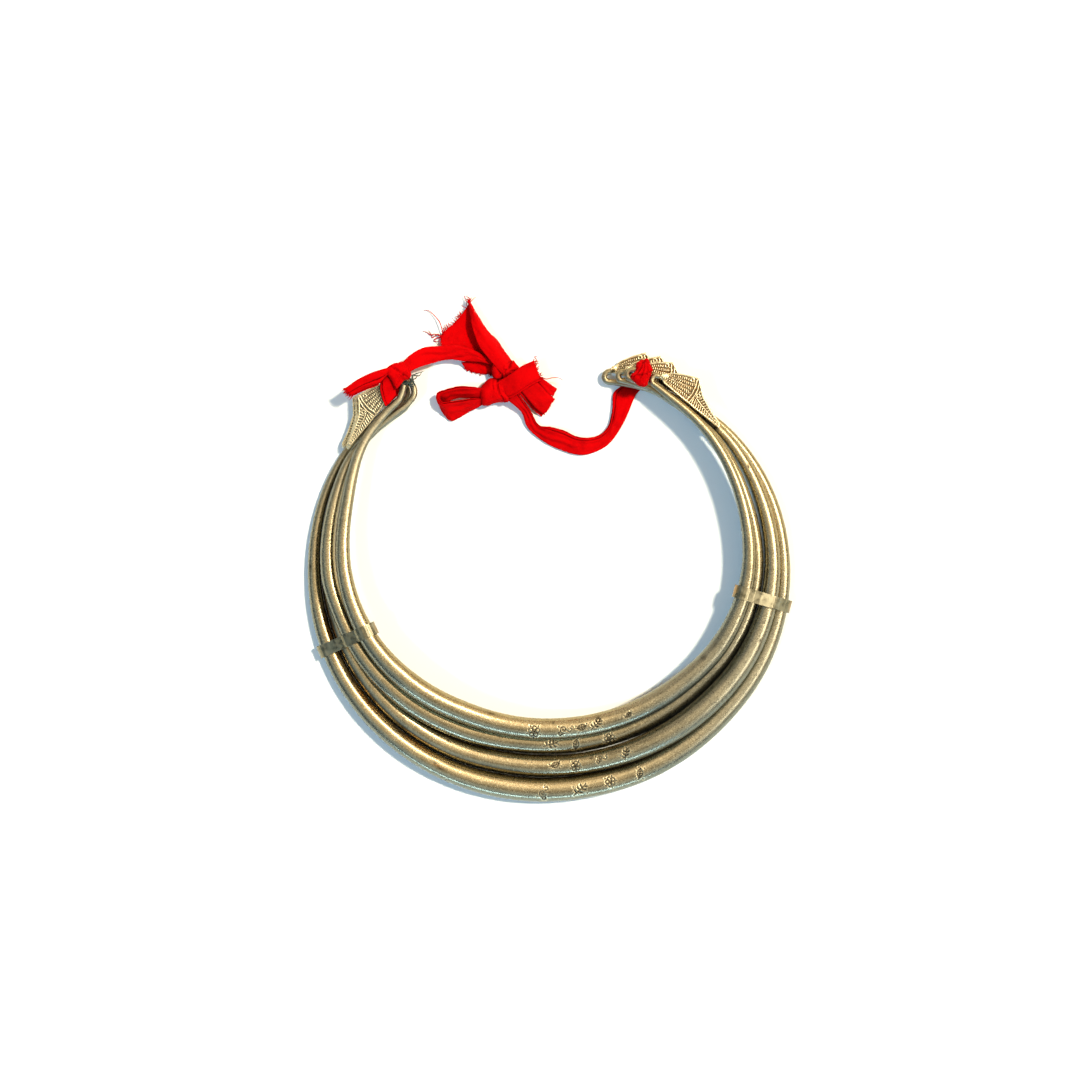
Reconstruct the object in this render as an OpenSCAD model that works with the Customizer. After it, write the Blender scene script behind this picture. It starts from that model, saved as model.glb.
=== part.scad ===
// Choker of four hollow silver neck rings, held side by side by two wrapped clips.
// Each ring swells towards the front. Its ends turn back in an eye and run out in a stamped leaf.
// A torn cloth tie goes through the eyes on both sides and is knotted across the opening.
// The choker lies flat: X runs to the viewer's right, Y to the opening and Z up from the table.
// Millimetres throughout.

/* [Rings] */
// Sections along each tube
tube_steps = 50; // [36:1:80]
// How much closer the sections lie near the ends
end_crowding = 0.5; // [0:0.1:0.8]
// Thickness of the round rod at the eyes
rod_d = 1.7; // [1.2:0.1:2.4]
// Steps round an eye
eye_steps = 6; // [5:1:12]

/* [Leaves] */
// Length of a leaf from the end of its eye
leaf_length = 28.4; // [20:0.1:34]
// Thickness of the leaf's sheet
leaf_wall = 0.8; // [0.6:0.1:1.4]
// Width of the raised rim
rim_w = 0.7; // [0.4:0.1:1.2]
// Depth of the stamped field below the rim
field_depth = 0.3; // [0.1:0.05:0.4]
// Sections along a leaf, two to a stamped rib
leaf_steps = 22; // [14:2:40]
// Distance over which the rod flattens into the leaf
flatten_length = 2.6; // [1:0.1:5]

/* [Clips] */
// Width of a clip along the rings
clip_w = 4.6; // [2:0.1:6]
// Thickness of a clip's strip
clip_wall = 0.6; // [0.4:0.1:1]
// Play between a clip and the tubes
clip_gap = 0.65; // [0.2:0.05:0.8]
// Radius of the widest valley that the strip dips into
clip_stiffness = 16; // [2:0.5:30]

/* [Cloth] */
// Thickness of the folded strip
cloth_wall = 1.0; // [0.8:0.1:2]
// Thickness where the strip is pulled through the eyes
pulled_wall = 0.8; // [0.6:0.1:1.2]
// Sections between two rows of a cloth table
cloth_steps = 2; // [1:1:4]

/* [Placing] */
// Middle of the neck opening, across
neck_x = -0.71; // [-5:0.01:5]
// Middle of the neck opening, towards the front
neck_y = -8.56; // [-15:0.01:5]

/* [Hidden] */
silver = [0.72, 0.66, 0.50];
clip_silver = [0.80, 0.78, 0.70];
red = [0.86, 0.04, 0.05];

// Tube tables. Columns: BEARING degrees from the right, REACH from the neck's middle,
// HEIGHT of the centre line, THICK of the tube.
outer_tube = [
    [128.8, 83.3, 2.8, 1.8], [131, 82.7, 2.7, 1.8], [136, 83.7, 2.4, 2.0],
    [146, 86.7, 2.0, 2.3], [160, 87.1, 2.3, 3.2], [180, 85.9, 3.4, 4.7],
    [200, 84.6, 4.3, 6.2], [220, 82.7, 5.3, 7.0], [240, 80.7, 5.3, 7.9],
    [260, 79.2, 4.7, 8.7], [280, 78.7, 4.4, 8.7], [300, 79.7, 4.4, 8.7],
    [320, 81.4, 4.3, 8.2], [340, 84.4, 4.1, 7.0], [360, 86.2, 4.6, 5.5],
    [380, 86.1, 4.6, 4.6], [400, 84.0, 3.7, 3.3], [416, 79.5, 3.3, 2.5],
    [428, 75.7, 3.2, 1.9], [432.4, 74.4, 3.2, 1.7]
];
second_tube = [
    [127.9, 81.4, 5.2, 1.8], [131, 80.5, 5.1, 1.9], [135, 81.3, 4.9, 2.2],
    [141, 82.6, 4.6, 2.3], [150, 84.3, 4.0, 3.1], [160, 83.0, 3.4, 4.0],
    [180, 80.7, 3.5, 5.2], [200, 78.1, 4.3, 6.2], [220, 75.5, 4.3, 7.2],
    [240, 72.8, 3.9, 7.6], [260, 70.4, 4.1, 8.0], [280, 70.2, 5.0, 7.8],
    [300, 71.9, 8.3, 8.0], [320, 75.1, 9.8, 8.0], [340, 79.1, 9.4, 7.3],
    [360, 81.9, 9.1, 6.0], [380, 82.9, 8.3, 4.6], [400, 82.4, 7.4, 3.5],
    [416, 78.6, 6.8, 2.6], [429.2, 76.1, 6.6, 1.7]
];
third_tube = [
    [127.9, 81.4, 7.6, 1.8], [130, 80.9, 7.6, 2.0], [133, 81.2, 7.6, 2.1],
    [143, 82.9, 7.2, 2.6], [150, 83.9, 7.6, 3.2], [160, 82.7, 8.4, 4.2],
    [180, 80.1, 9.3, 5.7], [190, 77.3, 9.7, 5.8], [200, 74.7, 9.8, 6.3],
    [220, 69.5, 8.7, 7.3], [240, 64.9, 5.4, 7.8], [260, 62.0, 4.1, 8.0],
    [280, 61.7, 4.1, 8.0], [300, 63.1, 4.1, 7.9], [320, 66.6, 4.7, 7.7],
    [340, 71.7, 6.4, 6.8], [360, 75.9, 8.8, 5.5], [380, 77.3, 10.4, 4.4],
    [400, 78.8, 10.4, 3.5], [416, 77.8, 10.1, 2.6], [427.2, 77.6, 10.0, 1.7]
];
inner_tube = [
    [127.6, 86.5, 10.0, 1.8], [128.8, 85.2, 10.0, 1.8], [130.5, 84.0, 10.0, 2.1],
    [135, 83.8, 10.1, 2.6], [145, 82.7, 10.7, 3.5], [160, 77.9, 11.9, 4.6],
    [180, 74.0, 13.0, 5.6], [200, 69.0, 13.7, 6.9], [220, 63.2, 13.5, 8.0],
    [240, 58.5, 11.2, 8.0], [260, 56.5, 10.3, 7.8], [280, 56.5, 10.4, 7.8],
    [300, 58.5, 10.8, 7.6], [320, 62.4, 11.7, 7.5], [340, 68.1, 12.8, 6.8],
    [360, 72.7, 14.0, 5.3], [380, 75.3, 14.6, 4.3], [400, 77.8, 14.3, 3.6],
    [415, 78.5, 13.8, 2.7], [421, 79.4, 13.5, 1.7]
];

// End tables. Columns: RADIUS of the eye, HEADING of the leaf, BEND of the leaf outwards, RISE of its tip.
outer_ends = [[3.7, 236, 8, 1.2], [1.9, -9, 0, 0]];
second_ends = [[4.6, 237, 5, 0], [1.7, -14.5, 0, 0]];
third_ends = [[4.3, 237.3, 6, 0], [1.7, -26, 0, 0]];
inner_ends = [[1.73, 237, 8, 0], [1.7, -40, 1.5, 0]];

// Half of the leaf's outline. Columns: ALONG from the eye, ACROSS from the straight edge.
leaf_outline = [
    [0, 2.9], [3.2, 5.5], [6.6, 7.6], [10.4, 9.4], [11.6, 9.8],
    [16.7, 5.8], [21.2, 3.9], [24.7, 2.6], [27.3, 1.9], [28.4, 0.9]
];
leaf_outline_length = 28.4;
bend_start = 8;
bend_end = 20;

// Clip table. Columns: X and Y of the clip's middle, ANGLE of its long side.
left_clip_line = [-73.6, -23.9, 204];
right_clip_line = [78.5, -8.8, -16];
clip_round = 24;

// Cloth tables. Each row is a section across the cloth, as points X, Y, Z from edge to edge.
// The last column of a two-point table is FOLD, how far its folds stand up there, from 0 to 1.
left_loop_rows = [
    [-55.0, 73.5, 10.6, -51.7, 73.2, 10.6, 0], [-55.2, 73.8, 5.5, -51.7, 73.3, 5.5, 0],
    [-55.3, 73.9, 1.9, -51.9, 73.4, 1.9, 0], [-55.8, 72.2, 0.7, -52.8, 71.1, 0.7, 0],
    [-57.0, 68.8, 0.7, -55.2, 66.5, 0.7, 0], [-56.6, 67.4, 1.3, -58.3, 63.6, 1.2, 0],
    [-56.4, 67.0, 2.8, -58.7, 63.1, 2.8, 0], [-56.2, 66.8, 6.0, -58.5, 63.0, 6.0, 0],
    [-56.1, 66.7, 10.2, -58.4, 62.8, 10.2, 0], [-56.5, 67.3, 11.6, -59.3, 63.0, 11.5, 0],
    [-56.8, 69.4, 12.2, -61.0, 67.4, 12.1, 0.6], [-57.7, 72.2, 12.4, -60.9, 71.6, 12.3, 0.6]
];
left_strip_rows = [
    [-49.7, 74.2, 12.6, -52.5, 77.8, 13.1, 0.2], [-47.0, 75.6, 10.4, -49.7, 80.4, 11.8, 0.6],
    [-42.1, 77.4, 6.8, -45.2, 83.0, 9.5, 1], [-36.3, 79.0, 4.8, -39.5, 83.6, 7.6, 1],
    [-30.5, 78.4, 4.0, -33.3, 84.0, 6.4, 1], [-25.0, 78.2, 4.2, -26.8, 82.1, 5.4, 0.6],
    [-20.0, 77.0, 4.4, -20.4, 78.2, 4.6, 0]
];
bow_loop_rows = [
    [-24.3, 68.6, 6.6, -24.5, 65.6, 4.4, 0], [-28.5, 68.8, 7.4, -29.4, 65.7, 4.3, 0.5],
    [-32.9, 68.9, 7.4, -33.4, 65.4, 3.2, 1], [-37.0, 67.7, 7.0, -37.2, 64.7, 1.8, 1],
    [-40.0, 66.8, 6.6, -39.4, 63.0, 1.1, 1], [-40.4, 65.0, 6.8, -38.3, 60.0, 0.8, 1],
    [-39.0, 63.1, 7.0, -35.7, 57.3, 0.8, 1], [-35.9, 63.1, 7.0, -33.1, 58.0, 1.0, 1],
    [-30.8, 63.9, 6.8, -29.4, 60.2, 1.6, 1], [-27.1, 63.9, 6.4, -26.1, 61.7, 2.8, 0.5],
    [-24.4, 63.9, 5.6, -24.5, 62.6, 3.8, 0]
];
right_strip_rows = [
    [-9.8, 65.4, 6.5, -14.2, 63.9, 5.4, 0], [-6.1, 59.7, 3.5, -9.7, 59.9, 2.8, 1],
    [-3.3, 55.1, 2.6, -7.4, 54.4, 1.2, 1], [1.1, 54.5, 3.6, -2.4, 49.9, 0.9, 1],
    [5.9, 53.2, 4.0, 3.5, 46.7, 0.9, 1], [11.0, 50.9, 3.4, 11.6, 44.4, 0.9, 1],
    [17.6, 51.1, 2.8, 18.2, 45.8, 0.9, 1], [22.1, 54.6, 2.4, 23.4, 49.5, 0.9, 1],
    [23.5, 60.7, 1.8, 28.2, 56.9, 0.9, 1], [23.7, 66.6, 1.1, 31.9, 65.7, 0.8, 0.6],
    [26.5, 69.4, 0.7, 34.4, 68.7, 0.7, 0], [31.9, 71.3, 1.1, 36.2, 70.6, 1.1, 0],
    [32.0, 71.3, 3.2, 35.8, 70.7, 3.2, 0], [32.0, 71.6, 6.6, 35.6, 70.7, 6.6, 0],
    [32.4, 72.2, 10.0, 35.4, 70.8, 10.0, 0], [32.4, 72.2, 10.8, 35.3, 70.9, 10.8, 0]
];
folded_end_rows = [
    [-14.0, 65.2, 7.0, -16.0, 71.9, 8.0, 0], [-9.1, 67.2, 9.0, -12.8, 73.8, 9.6, 0.6],
    [-6.0, 69.2, 9.2, -9.5, 76.2, 9.8, 0.6], [-2.4, 71.0, 8.0, -5.3, 78.2, 8.8, 0.6]
];
upper_tail_rows = [
    [-3.2, 69.6, 6.8, -1.4, 71.4, 7.2, 0], [-0.4, 66.8, 5.2, 1.5, 69.4, 5.4, 1],
    [1.8, 65.4, 3.6, 3.2, 68.4, 3.8, 0]
];
lower_tail_rows = [
    [-8.8, 66.4, 7.3, -5.2, 69.0, 7.9, 0], [-5.0, 61.2, 3.2, -0.9, 66.4, 5.4, 1],
    [-1.9, 58.0, 1.2, 2.3, 64.2, 3.6, 0]
];
left_tail_rows = [
    [-57.1, 75.5, 14.2, -58.4, 73.4, 13.4, 0], [-60.4, 74.5, 14.6, -61.7, 69.9, 13.4, 1],
    [-64.2, 73.2, 14.6, -64.2, 68.9, 13.2, 1], [-69.1, 70.8, 14.2, -68.0, 67.7, 13.2, 1],
    [-73.3, 67.9, 13.6, -71.8, 65.8, 13.2, 0.4]
];
// Points across the wide end: BORDER, BASE, VALLEY, TURN, ROLL and the roll's inner edge.
wide_end_rows = [
    [-23.5, 81.4, 3.0, -21.3, 80.9, 2.0, -18.8, 80.6, 1.4, -14.9, 80.2, 2.6, -16.1, 78.4, 6.2, -20.0, 77.9, 5.8],
    [-28.6, 83.7, 4.4, -26.5, 85.2, 1.8, -23.2, 86.0, 1.2, -18.6, 85.7, 2.4, -20.5, 84.1, 6.4, -25.1, 83.4, 5.4],
    [-33.8, 84.9, 4.8, -31.3, 88.7, 1.6, -27.6, 90.9, 1.2, -23.0, 90.8, 2.4, -24.2, 89.4, 6.2, -27.5, 89.4, 5.0],
    [-38.4, 84.8, 4.0, -36.6, 88.7, 1.4, -31.7, 93.9, 1.2, -27.0, 96.9, 2.4, -27.1, 95.9, 5.4, -28.5, 94.9, 4.2],
    [-39.2, 88.0, 1.8, -36.8, 90.6, 1.4, -32.8, 94.4, 1.6, -28.8, 100.1, 2.6, -28.8, 99.8, 4.4, -29.2, 99.0, 4.0]
];
under_flap_rows = [
    [-32.0, 78.2, 2.5, -25.8, 78.9, 2.7, -20.4, 78.4, 2.7], [-30.3, 75.9, 0.7, -25.2, 74.4, 0.7, -20.0, 74.2, 0.9]
];
// Folds of a two-point table. Columns: ACROSS as a share of the width, LIFT of the fold.
strip_folds = [[0, 0], [0.28, -0.5], [0.6, 0.7], [1, 0]];
flat_folds = [[0, 0], [0.5, 0.25], [1, 0]];
tail_folds = [[0, 0], [0.35, 0.8], [0.7, -0.4], [1, 0]];

// Knot outlines. Columns: X and Y from the knot's middle.
left_knot_outline = [
    [-2.5, 1.1], [-2.9, 3.1], [-0.9, 4.2], [1.5, 4.4], [4.0, 0.9], [3.0, -1.1],
    [1.1, -1.6], [0.1, -3.4], [-1.3, -4.6], [-2.2, -2.2]
];
upper_knot_outline = [
    [-4.9, 2.2], [-0.8, 2.3], [1.6, 3.2], [3.0, 2.0], [4.2, 0.4], [1.9, -1.1], [-1.8, -3.4], [-4.9, -2.9]
];
lower_knot_outline = [
    [-5.6, 1.8], [-2.3, 5.5], [1.4, 5.3], [2.7, 2.5], [3.3, 0.4], [4.4, -1.7], [3.7, -2.7],
    [-0.1, -3.2], [-3.0, -4.3], [-5.2, -3.5]
];
tuft_outline = [
    [-0.3, 5.2], [1.5, 4.7], [2.9, 1.2], [2.1, -0.1], [1.4, -1.5], [1.1, -3.8], [0.2, -4.6],
    [-1.2, -4.1], [-4.6, -1.6], [-2.7, 0.9], [-2.1, 3.7]
];
// Knot levels. Columns: Z, SHARE of the outline there.
left_knot_levels = [[11.2, 0.8], [11.9, 0.95], [13.0, 1.02], [14.2, 0.98], [15.2, 0.72], [15.7, 0.3]];
upper_knot_levels = [[0.6, 0.6], [2.0, 0.9], [4.4, 1], [6.6, 0.94], [7.7, 0.7], [8.2, 0.25]];
lower_knot_levels = [[0.3, 0.6], [1.6, 0.9], [4.0, 1], [6.2, 0.95], [7.8, 0.7], [8.4, 0.3]];
tuft_levels = [[11.15, 0.6], [12.2, 0.85], [14.4, 1], [16.2, 0.95], [17.6, 0.7], [18.2, 0.3]];

function blend(a, b, k) = a + (b - a) * k;
function unit(v) = v / max(norm(v), 1e-9);
function clamp(x, low, high) = min(max(x, low), high);
function across(heading) = [-sin(heading), cos(heading)];
function along(heading) = [cos(heading), sin(heading)];
function flat(lists) = [for (list = lists) for (item = list) item];
function reversed(list) = [for (i = [len(list) - 1:-1:0]) list[i]];

// Smooth reading of a table's column at x: a cubic through the rows.
function slope(table, i, column) =
    let (a = max(i - 1, 0), b = min(i + 1, len(table) - 1))
    (table[b][column] - table[a][column]) / (table[b][0] - table[a][0]);
function row_below(table, x) = max([for (i = [0:len(table) - 2]) table[i][0] <= x ? i : 0]);
function cubic(y0, s0, y1, s1, u) =
    y0 * (1 + 2 * u) * pow(1 - u, 2) + s0 * u * pow(1 - u, 2) + y1 * u * u * (3 - 2 * u) + s1 * u * u * (u - 1);
function look(table, x, column) =
    let (i = row_below(table, x), h = table[i + 1][0] - table[i][0])
    cubic(table[i][column], slope(table, i, column) * h, table[i + 1][column],
          slope(table, i + 1, column) * h, (x - table[i][0]) / h);

// Corners of a tube's section, the same number as a leaf's section has.
tube_sides = 12;

// A station is [X, Y, Z, HEADING, WIDTH, FLATNESS, RIB]. A round rod has a flatness of 0.
function tube_point(table, bearing) =
    look(table, bearing, 1) * along(bearing);
function tube_heading(table, bearing) =
    let (low = max(bearing - 0.4, table[0][0]), high = min(bearing + 0.4, table[len(table) - 1][0]),
         step = tube_point(table, high) - tube_point(table, low))
    atan2(step[1], step[0]);
function crowded(u) = u - end_crowding * sin(360 * u) / (2 * PI);
function tube_stations(table) =
    let (first = table[0][0], last = table[len(table) - 1][0])
    [for (i = [0:tube_steps])
        let (bearing = blend(first, last, crowded(i / tube_steps)), p = tube_point(table, bearing))
        [p[0], p[1], look(table, bearing, 2), tube_heading(table, bearing), look(table, bearing, 3), 0, 0]];

// The eye and the leaf of one end. The turn is 1 for the left end and -1 for the right end,
// and the left end is walked backwards, from the tube out to the tip.
function turned(heading, goal, turn) =
    heading - 360 * (turn > 0 ? ceil((heading - goal + 60) / 360) : floor((heading - goal - 60) / 360));
function end_stations(table, end, turn) =
    let (tip = turn > 0 ? 0 : len(table) - 1,
         bearing = table[tip][0],
         p = tube_point(table, bearing),
         z = table[tip][2],
         start = turned(tube_heading(table, bearing) + (turn > 0 ? 180 : 0), end[1], turn),
         middle = p + end[0] * turn * across(start),
         eye = [for (i = [1:eye_steps])
             let (heading = blend(start, end[1], i / eye_steps), q = middle - end[0] * turn * across(heading))
             [q[0], q[1], z, heading, rod_d, 0, 0]],
         root = eye[eye_steps - 1],
         step = leaf_length / leaf_steps,
         leaf = [for (i = 1, s = step, h = end[1], q = [root[0], root[1]] + step * along(end[1]);
                      i <= leaf_steps;
                      i = i + 1, s = s + step,
                      h = end[1] - turn * end[2] * clamp((s - bend_start) / (bend_end - bend_start), 0, 1),
                      q = q + step * along(h))
             leaf_station(q, z + end[3] * clamp(s / bend_start, 0, 1), h, s, i, turn)])
    concat(eye, leaf);
function leaf_station(q, z, heading, s, i, turn) =
    let (w = lookup(s * leaf_outline_length / leaf_length, leaf_outline),
         shift = (w - rod_d) / 2 * -turn * across(heading))
    [q[0] + shift[0], q[1] + shift[1], z, heading, w, clamp(s / flatten_length, 0, 1), i % 2];
function backwards(stations) =
    [for (i = [len(stations) - 1:-1:0])
        let (s = stations[i])
        [s[0], s[1], s[2], s[3] + 180, s[4], s[5], s[6]]];

// The section of a station: a round tube, a stamped leaf or a blend of both, as [ACROSS, UP].
function round_section(d) =
    [for (k = [0:tube_sides - 1]) d / 2 * [cos(360 * k / tube_sides), sin(360 * k / tube_sides)]];
function leaf_section(w, rib) =
    let (edge = w / 2, rim = max(w / 2 - rim_w, w * 0.2), top = leaf_wall / 2, corner = max(edge - 0.15, w * 0.4),
         field = w > 2.2 ? top - field_depth * (1 - rib) : top)
    [[edge, 0], [corner, top], [rim, top], [0, field], [-rim, top], [-corner, top],
     [-edge, 0], [-corner, -top], [-rim, -top], [0, -top], [rim, -top], [corner, -top]];
function section(station) =
    let (round = round_section(min(station[4], max(station[4] * (1 - station[5]), rod_d))),
         leaf = leaf_section(station[4], station[6]),
         shape = station[5] == 0 ? round_section(station[4]) : blend(round, leaf, station[5]))
    [for (p = shape)
        let (side = across(station[3]) * p[0])
        [station[0] + side[0], station[1] + side[1], station[2] + p[1]]];

// A closed skin over sections that have the same number of points. The two end faces are
// flat polygons, or rungs across a thin edge.
function side_faces(n, m) =
    [for (i = [0:m - 2]) for (k = [0:n - 1])
        let (a = i * n + k, b = i * n + (k + 1) % n)
        each [[a, a + n, b], [b, a + n, b + n]]];
function rungs(n, first) =
    [for (k = [0:n / 2 - 2])
        let (a = first + k, b = first + n - 1 - k)
        each [[a, a + 1, b], [b, a + 1, b - 1]]];
module skin(sections, thin = false) {
    n = len(sections[0]);
    m = len(sections);
    last = (m - 1) * n;
    start_cap = thin ? rungs(n, 0) : [[for (k = [0:n - 1]) k]];
    end_cap = thin ? [for (face = rungs(n, last)) reversed(face)] : [[for (k = [n - 1:-1:0]) last + k]];
    polyhedron(points = flat(sections), faces = concat(start_cap, side_faces(n, m), end_cap), convexity = 10);
}

module ring(table, ends) {
    color(silver)
    skin([for (s = concat(backwards(end_stations(table, ends[0], 1)), tube_stations(table),
                          end_stations(table, ends[1], -1))) section(s)], thin = true);
}

// Where a tube crosses a clip's plane: [ALONG the clip, HEIGHT, THICK of the tube].
function crossing(table, line, bearing, tries) =
    let (p = tube_point(table, bearing) - [line[0], line[1]],
         off = p * across(line[2]))
    tries == 0
        ? [p * along(line[2]), look(table, bearing, 2), look(table, bearing, 3)]
        : crossing(table, line, bearing - off / look(table, bearing, 1) * 180 / PI, tries - 1);

module tube_sections(line, bearing) {
    for (table = [outer_tube, second_tube, third_tube, inner_tube]) {
        spot = crossing(table, line, bearing, 5);
        translate([spot[0], spot[1]])
            circle(d = spot[2] + 2 * clip_gap, $fn = clip_round);
    }
}

module clip_outline(line, bearing) {
    offset(r = -clip_stiffness, $fn = clip_round)
        offset(r = clip_stiffness, $fn = clip_round)
            tube_sections(line, bearing);
}

module clip(line, bearing) {
    color(clip_silver)
    translate([line[0], line[1], 0])
        rotate([0, 0, line[2]])
            rotate([90, 0, 0])
                linear_extrude(height = clip_w, center = true)
                    difference() {
                        offset(r = clip_wall, $fn = clip_round)
                            clip_outline(line, bearing);
                        clip_outline(line, bearing);
                    }
}

// Cloth as a sheet of one thickness over a grid of points, one list of points to a section.
function grid_point(grid, i, j) = grid[clamp(i, 0, len(grid) - 1)][clamp(j, 0, len(grid[0]) - 1)];
function grid_normal(grid, i, j) =
    unit(cross(grid_point(grid, i + 1, j) - grid_point(grid, i - 1, j),
               grid_point(grid, i, j + 1) - grid_point(grid, i, j - 1)));
module sheet(grid, wall) {
    last = len(grid[0]) - 1;
    skin([for (i = [len(grid) - 1:-1:0])
        concat([for (j = [0:last]) grid[i][j] + grid_normal(grid, i, j) * wall / 2],
               [for (j = [last:-1:0]) grid[i][j] - grid_normal(grid, i, j) * wall / 2])], thin = true);
}

// Rows of a table as points, with smooth steps between the rows.
function smooth_rows(rows) =
    let (counted = [for (i = [0:len(rows) - 1]) concat([i], rows[i])], steps = (len(rows) - 1) * cloth_steps)
    [for (k = [0:steps]) [for (c = [1:len(rows[0])]) look(counted, k / cloth_steps, c)]];
function points_of(row) = [for (c = [0:3:len(row) - 3]) [row[c], row[c + 1], row[c + 2]]];
function folded(row, next, folds) =
    let (a = [row[0], row[1], row[2]], b = [row[3], row[4], row[5]],
         ahead = [next[0] - row[0] + next[3] - row[3], next[1] - row[1] + next[4] - row[4],
                  next[2] - row[2] + next[5] - row[5]],
         up = unit(cross(b - a, ahead)) * (cross(b - a, ahead)[2] < 0 ? -1 : 1))
    [for (fold = folds) blend(a, b, fold[0]) + up * fold[1] * row[6]];
function folded_grid(rows, folds) =
    let (all_rows = smooth_rows(rows), last = len(all_rows) - 1)
    [for (i = [0:last])
        i < last ? folded(all_rows[i], all_rows[i + 1], folds)
                 : folded(all_rows[i], 2 * all_rows[i] - all_rows[i - 1], folds)];

module folded_cloth(rows, folds, wall) {
    color(red)
    sheet(folded_grid(rows, folds), wall);
}

// A pulled-tight knot: rounded copies of one outline, stacked.
function rounded(outline) =
    let (n = len(outline))
    flat([for (i = [0:n - 1])
        [blend(outline[i], outline[(i + 1) % n], 0.25), blend(outline[i], outline[(i + 1) % n], 0.75)]]);
module knot(x, y, outline, levels) {
    color(red)
    skin([for (level = reversed(levels)) [for (p = rounded(outline)) [x + p[0] * level[1], y + p[1] * level[1], level[0]]]]);
}

module outer_ring() ring(outer_tube, outer_ends);
module second_ring() ring(second_tube, second_ends);
module third_ring() ring(third_tube, third_ends);
module inner_ring() ring(inner_tube, inner_ends);
module left_clip() clip(left_clip_line, 198);
module right_clip() clip(right_clip_line, 354);
module left_loop() folded_cloth(left_loop_rows, flat_folds, pulled_wall);
module left_knot() knot(-54.0, 72.8, left_knot_outline, left_knot_levels);
module left_tail() folded_cloth(left_tail_rows, tail_folds, cloth_wall);
module left_strip() folded_cloth(left_strip_rows, strip_folds, cloth_wall);
module wide_end() {
    color(red)
    sheet([for (row = smooth_rows(wide_end_rows)) points_of(row)], cloth_wall);
}
module under_flap() {
    color(red)
    sheet([for (row = smooth_rows(under_flap_rows)) points_of(row)], cloth_wall);
}
module upper_knot() knot(-15.0, 75.2, upper_knot_outline, upper_knot_levels);
module lower_knot() knot(-18.9, 66.5, lower_knot_outline, lower_knot_levels);
module bow_loop() folded_cloth(bow_loop_rows, flat_folds, cloth_wall);
module folded_end() folded_cloth(folded_end_rows, flat_folds, cloth_wall);
module upper_tail() folded_cloth(upper_tail_rows, flat_folds, cloth_wall);
module lower_tail() folded_cloth(lower_tail_rows, tail_folds, cloth_wall);
module right_strip() folded_cloth(right_strip_rows, strip_folds, pulled_wall);
module stopper_tuft() knot(34.6, 73.4, tuft_outline, tuft_levels);

module placed() {
    translate([neck_x, neck_y, 0])
        children();
}

placed() outer_ring();
placed() second_ring();
placed() third_ring();
placed() inner_ring();
placed() left_clip();
placed() right_clip();
placed() left_loop();
placed() left_knot();
placed() left_tail();
placed() left_strip();
placed() wide_end();
placed() under_flap();
placed() upper_knot();
placed() lower_knot();
placed() bow_loop();
placed() folded_end();
placed() upper_tail();
placed() lower_tail();
placed() right_strip();
placed() stopper_tuft();
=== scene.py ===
"""Choker of four hollow silver neck rings with two wrapped clips and a torn red cotton tie.

Tables are in millimetres in the choker's own plan: X to the viewer's right, Y to the neck opening and
Z up from the table, from the middle of the neck opening. NECK moves that plan onto the CAD frame.
"""
from __future__ import annotations

import logging
from dataclasses import dataclass
from enum import Enum
from functools import partial

import bpy
import numpy as np
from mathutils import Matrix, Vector


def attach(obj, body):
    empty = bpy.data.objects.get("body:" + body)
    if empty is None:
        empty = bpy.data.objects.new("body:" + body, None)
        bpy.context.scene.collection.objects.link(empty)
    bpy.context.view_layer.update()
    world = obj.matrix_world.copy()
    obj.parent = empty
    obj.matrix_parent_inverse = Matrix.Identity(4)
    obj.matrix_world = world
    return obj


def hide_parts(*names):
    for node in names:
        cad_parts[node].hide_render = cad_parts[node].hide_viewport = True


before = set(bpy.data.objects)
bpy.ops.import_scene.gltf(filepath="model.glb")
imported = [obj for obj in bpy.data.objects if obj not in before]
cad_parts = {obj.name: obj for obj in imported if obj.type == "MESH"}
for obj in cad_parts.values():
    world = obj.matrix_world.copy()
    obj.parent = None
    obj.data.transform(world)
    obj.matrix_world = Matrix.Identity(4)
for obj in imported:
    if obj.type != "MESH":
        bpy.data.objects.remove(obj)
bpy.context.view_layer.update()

LOG = logging.getLogger("choker")
MM = 0.001
NECK = np.array([-0.71, -8.56, 0.0])
BODY = "root"
# Settings of nodes that several finishes use: colours laid over one another, and numbers held to 0..1.
COLOURS = {"out": 2, "data_type": "RGBA"}
TIMES = {"operation": "MULTIPLY", "use_clamp": True}
PLUS = {"operation": "ADD", "use_clamp": True}

# Tube tables. Columns: BEARING degrees from the right, REACH from the neck's middle,
# HEIGHT of the centre line, THICK of the tube.
OUTER_TUBE = (
    (128.8, 83.3, 2.8, 1.8), (131, 82.7, 2.7, 1.8), (136, 83.7, 2.4, 2.0), (146, 86.7, 2.0, 2.3),
    (160, 87.1, 2.3, 3.2), (180, 85.9, 3.4, 4.7), (200, 84.6, 4.3, 6.2), (220, 82.7, 5.3, 7.0),
    (240, 80.7, 5.3, 7.9), (260, 79.2, 4.7, 8.7), (280, 78.7, 4.4, 8.7), (300, 79.7, 4.4, 8.7),
    (320, 81.4, 4.3, 8.2), (340, 84.4, 4.1, 7.0), (360, 86.2, 4.6, 5.5), (380, 86.1, 4.6, 4.6),
    (400, 84.0, 3.7, 3.3), (416, 79.5, 3.3, 2.6), (428, 75.7, 3.2, 2.2), (432.4, 74.4, 3.2, 2.2),
)
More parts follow.
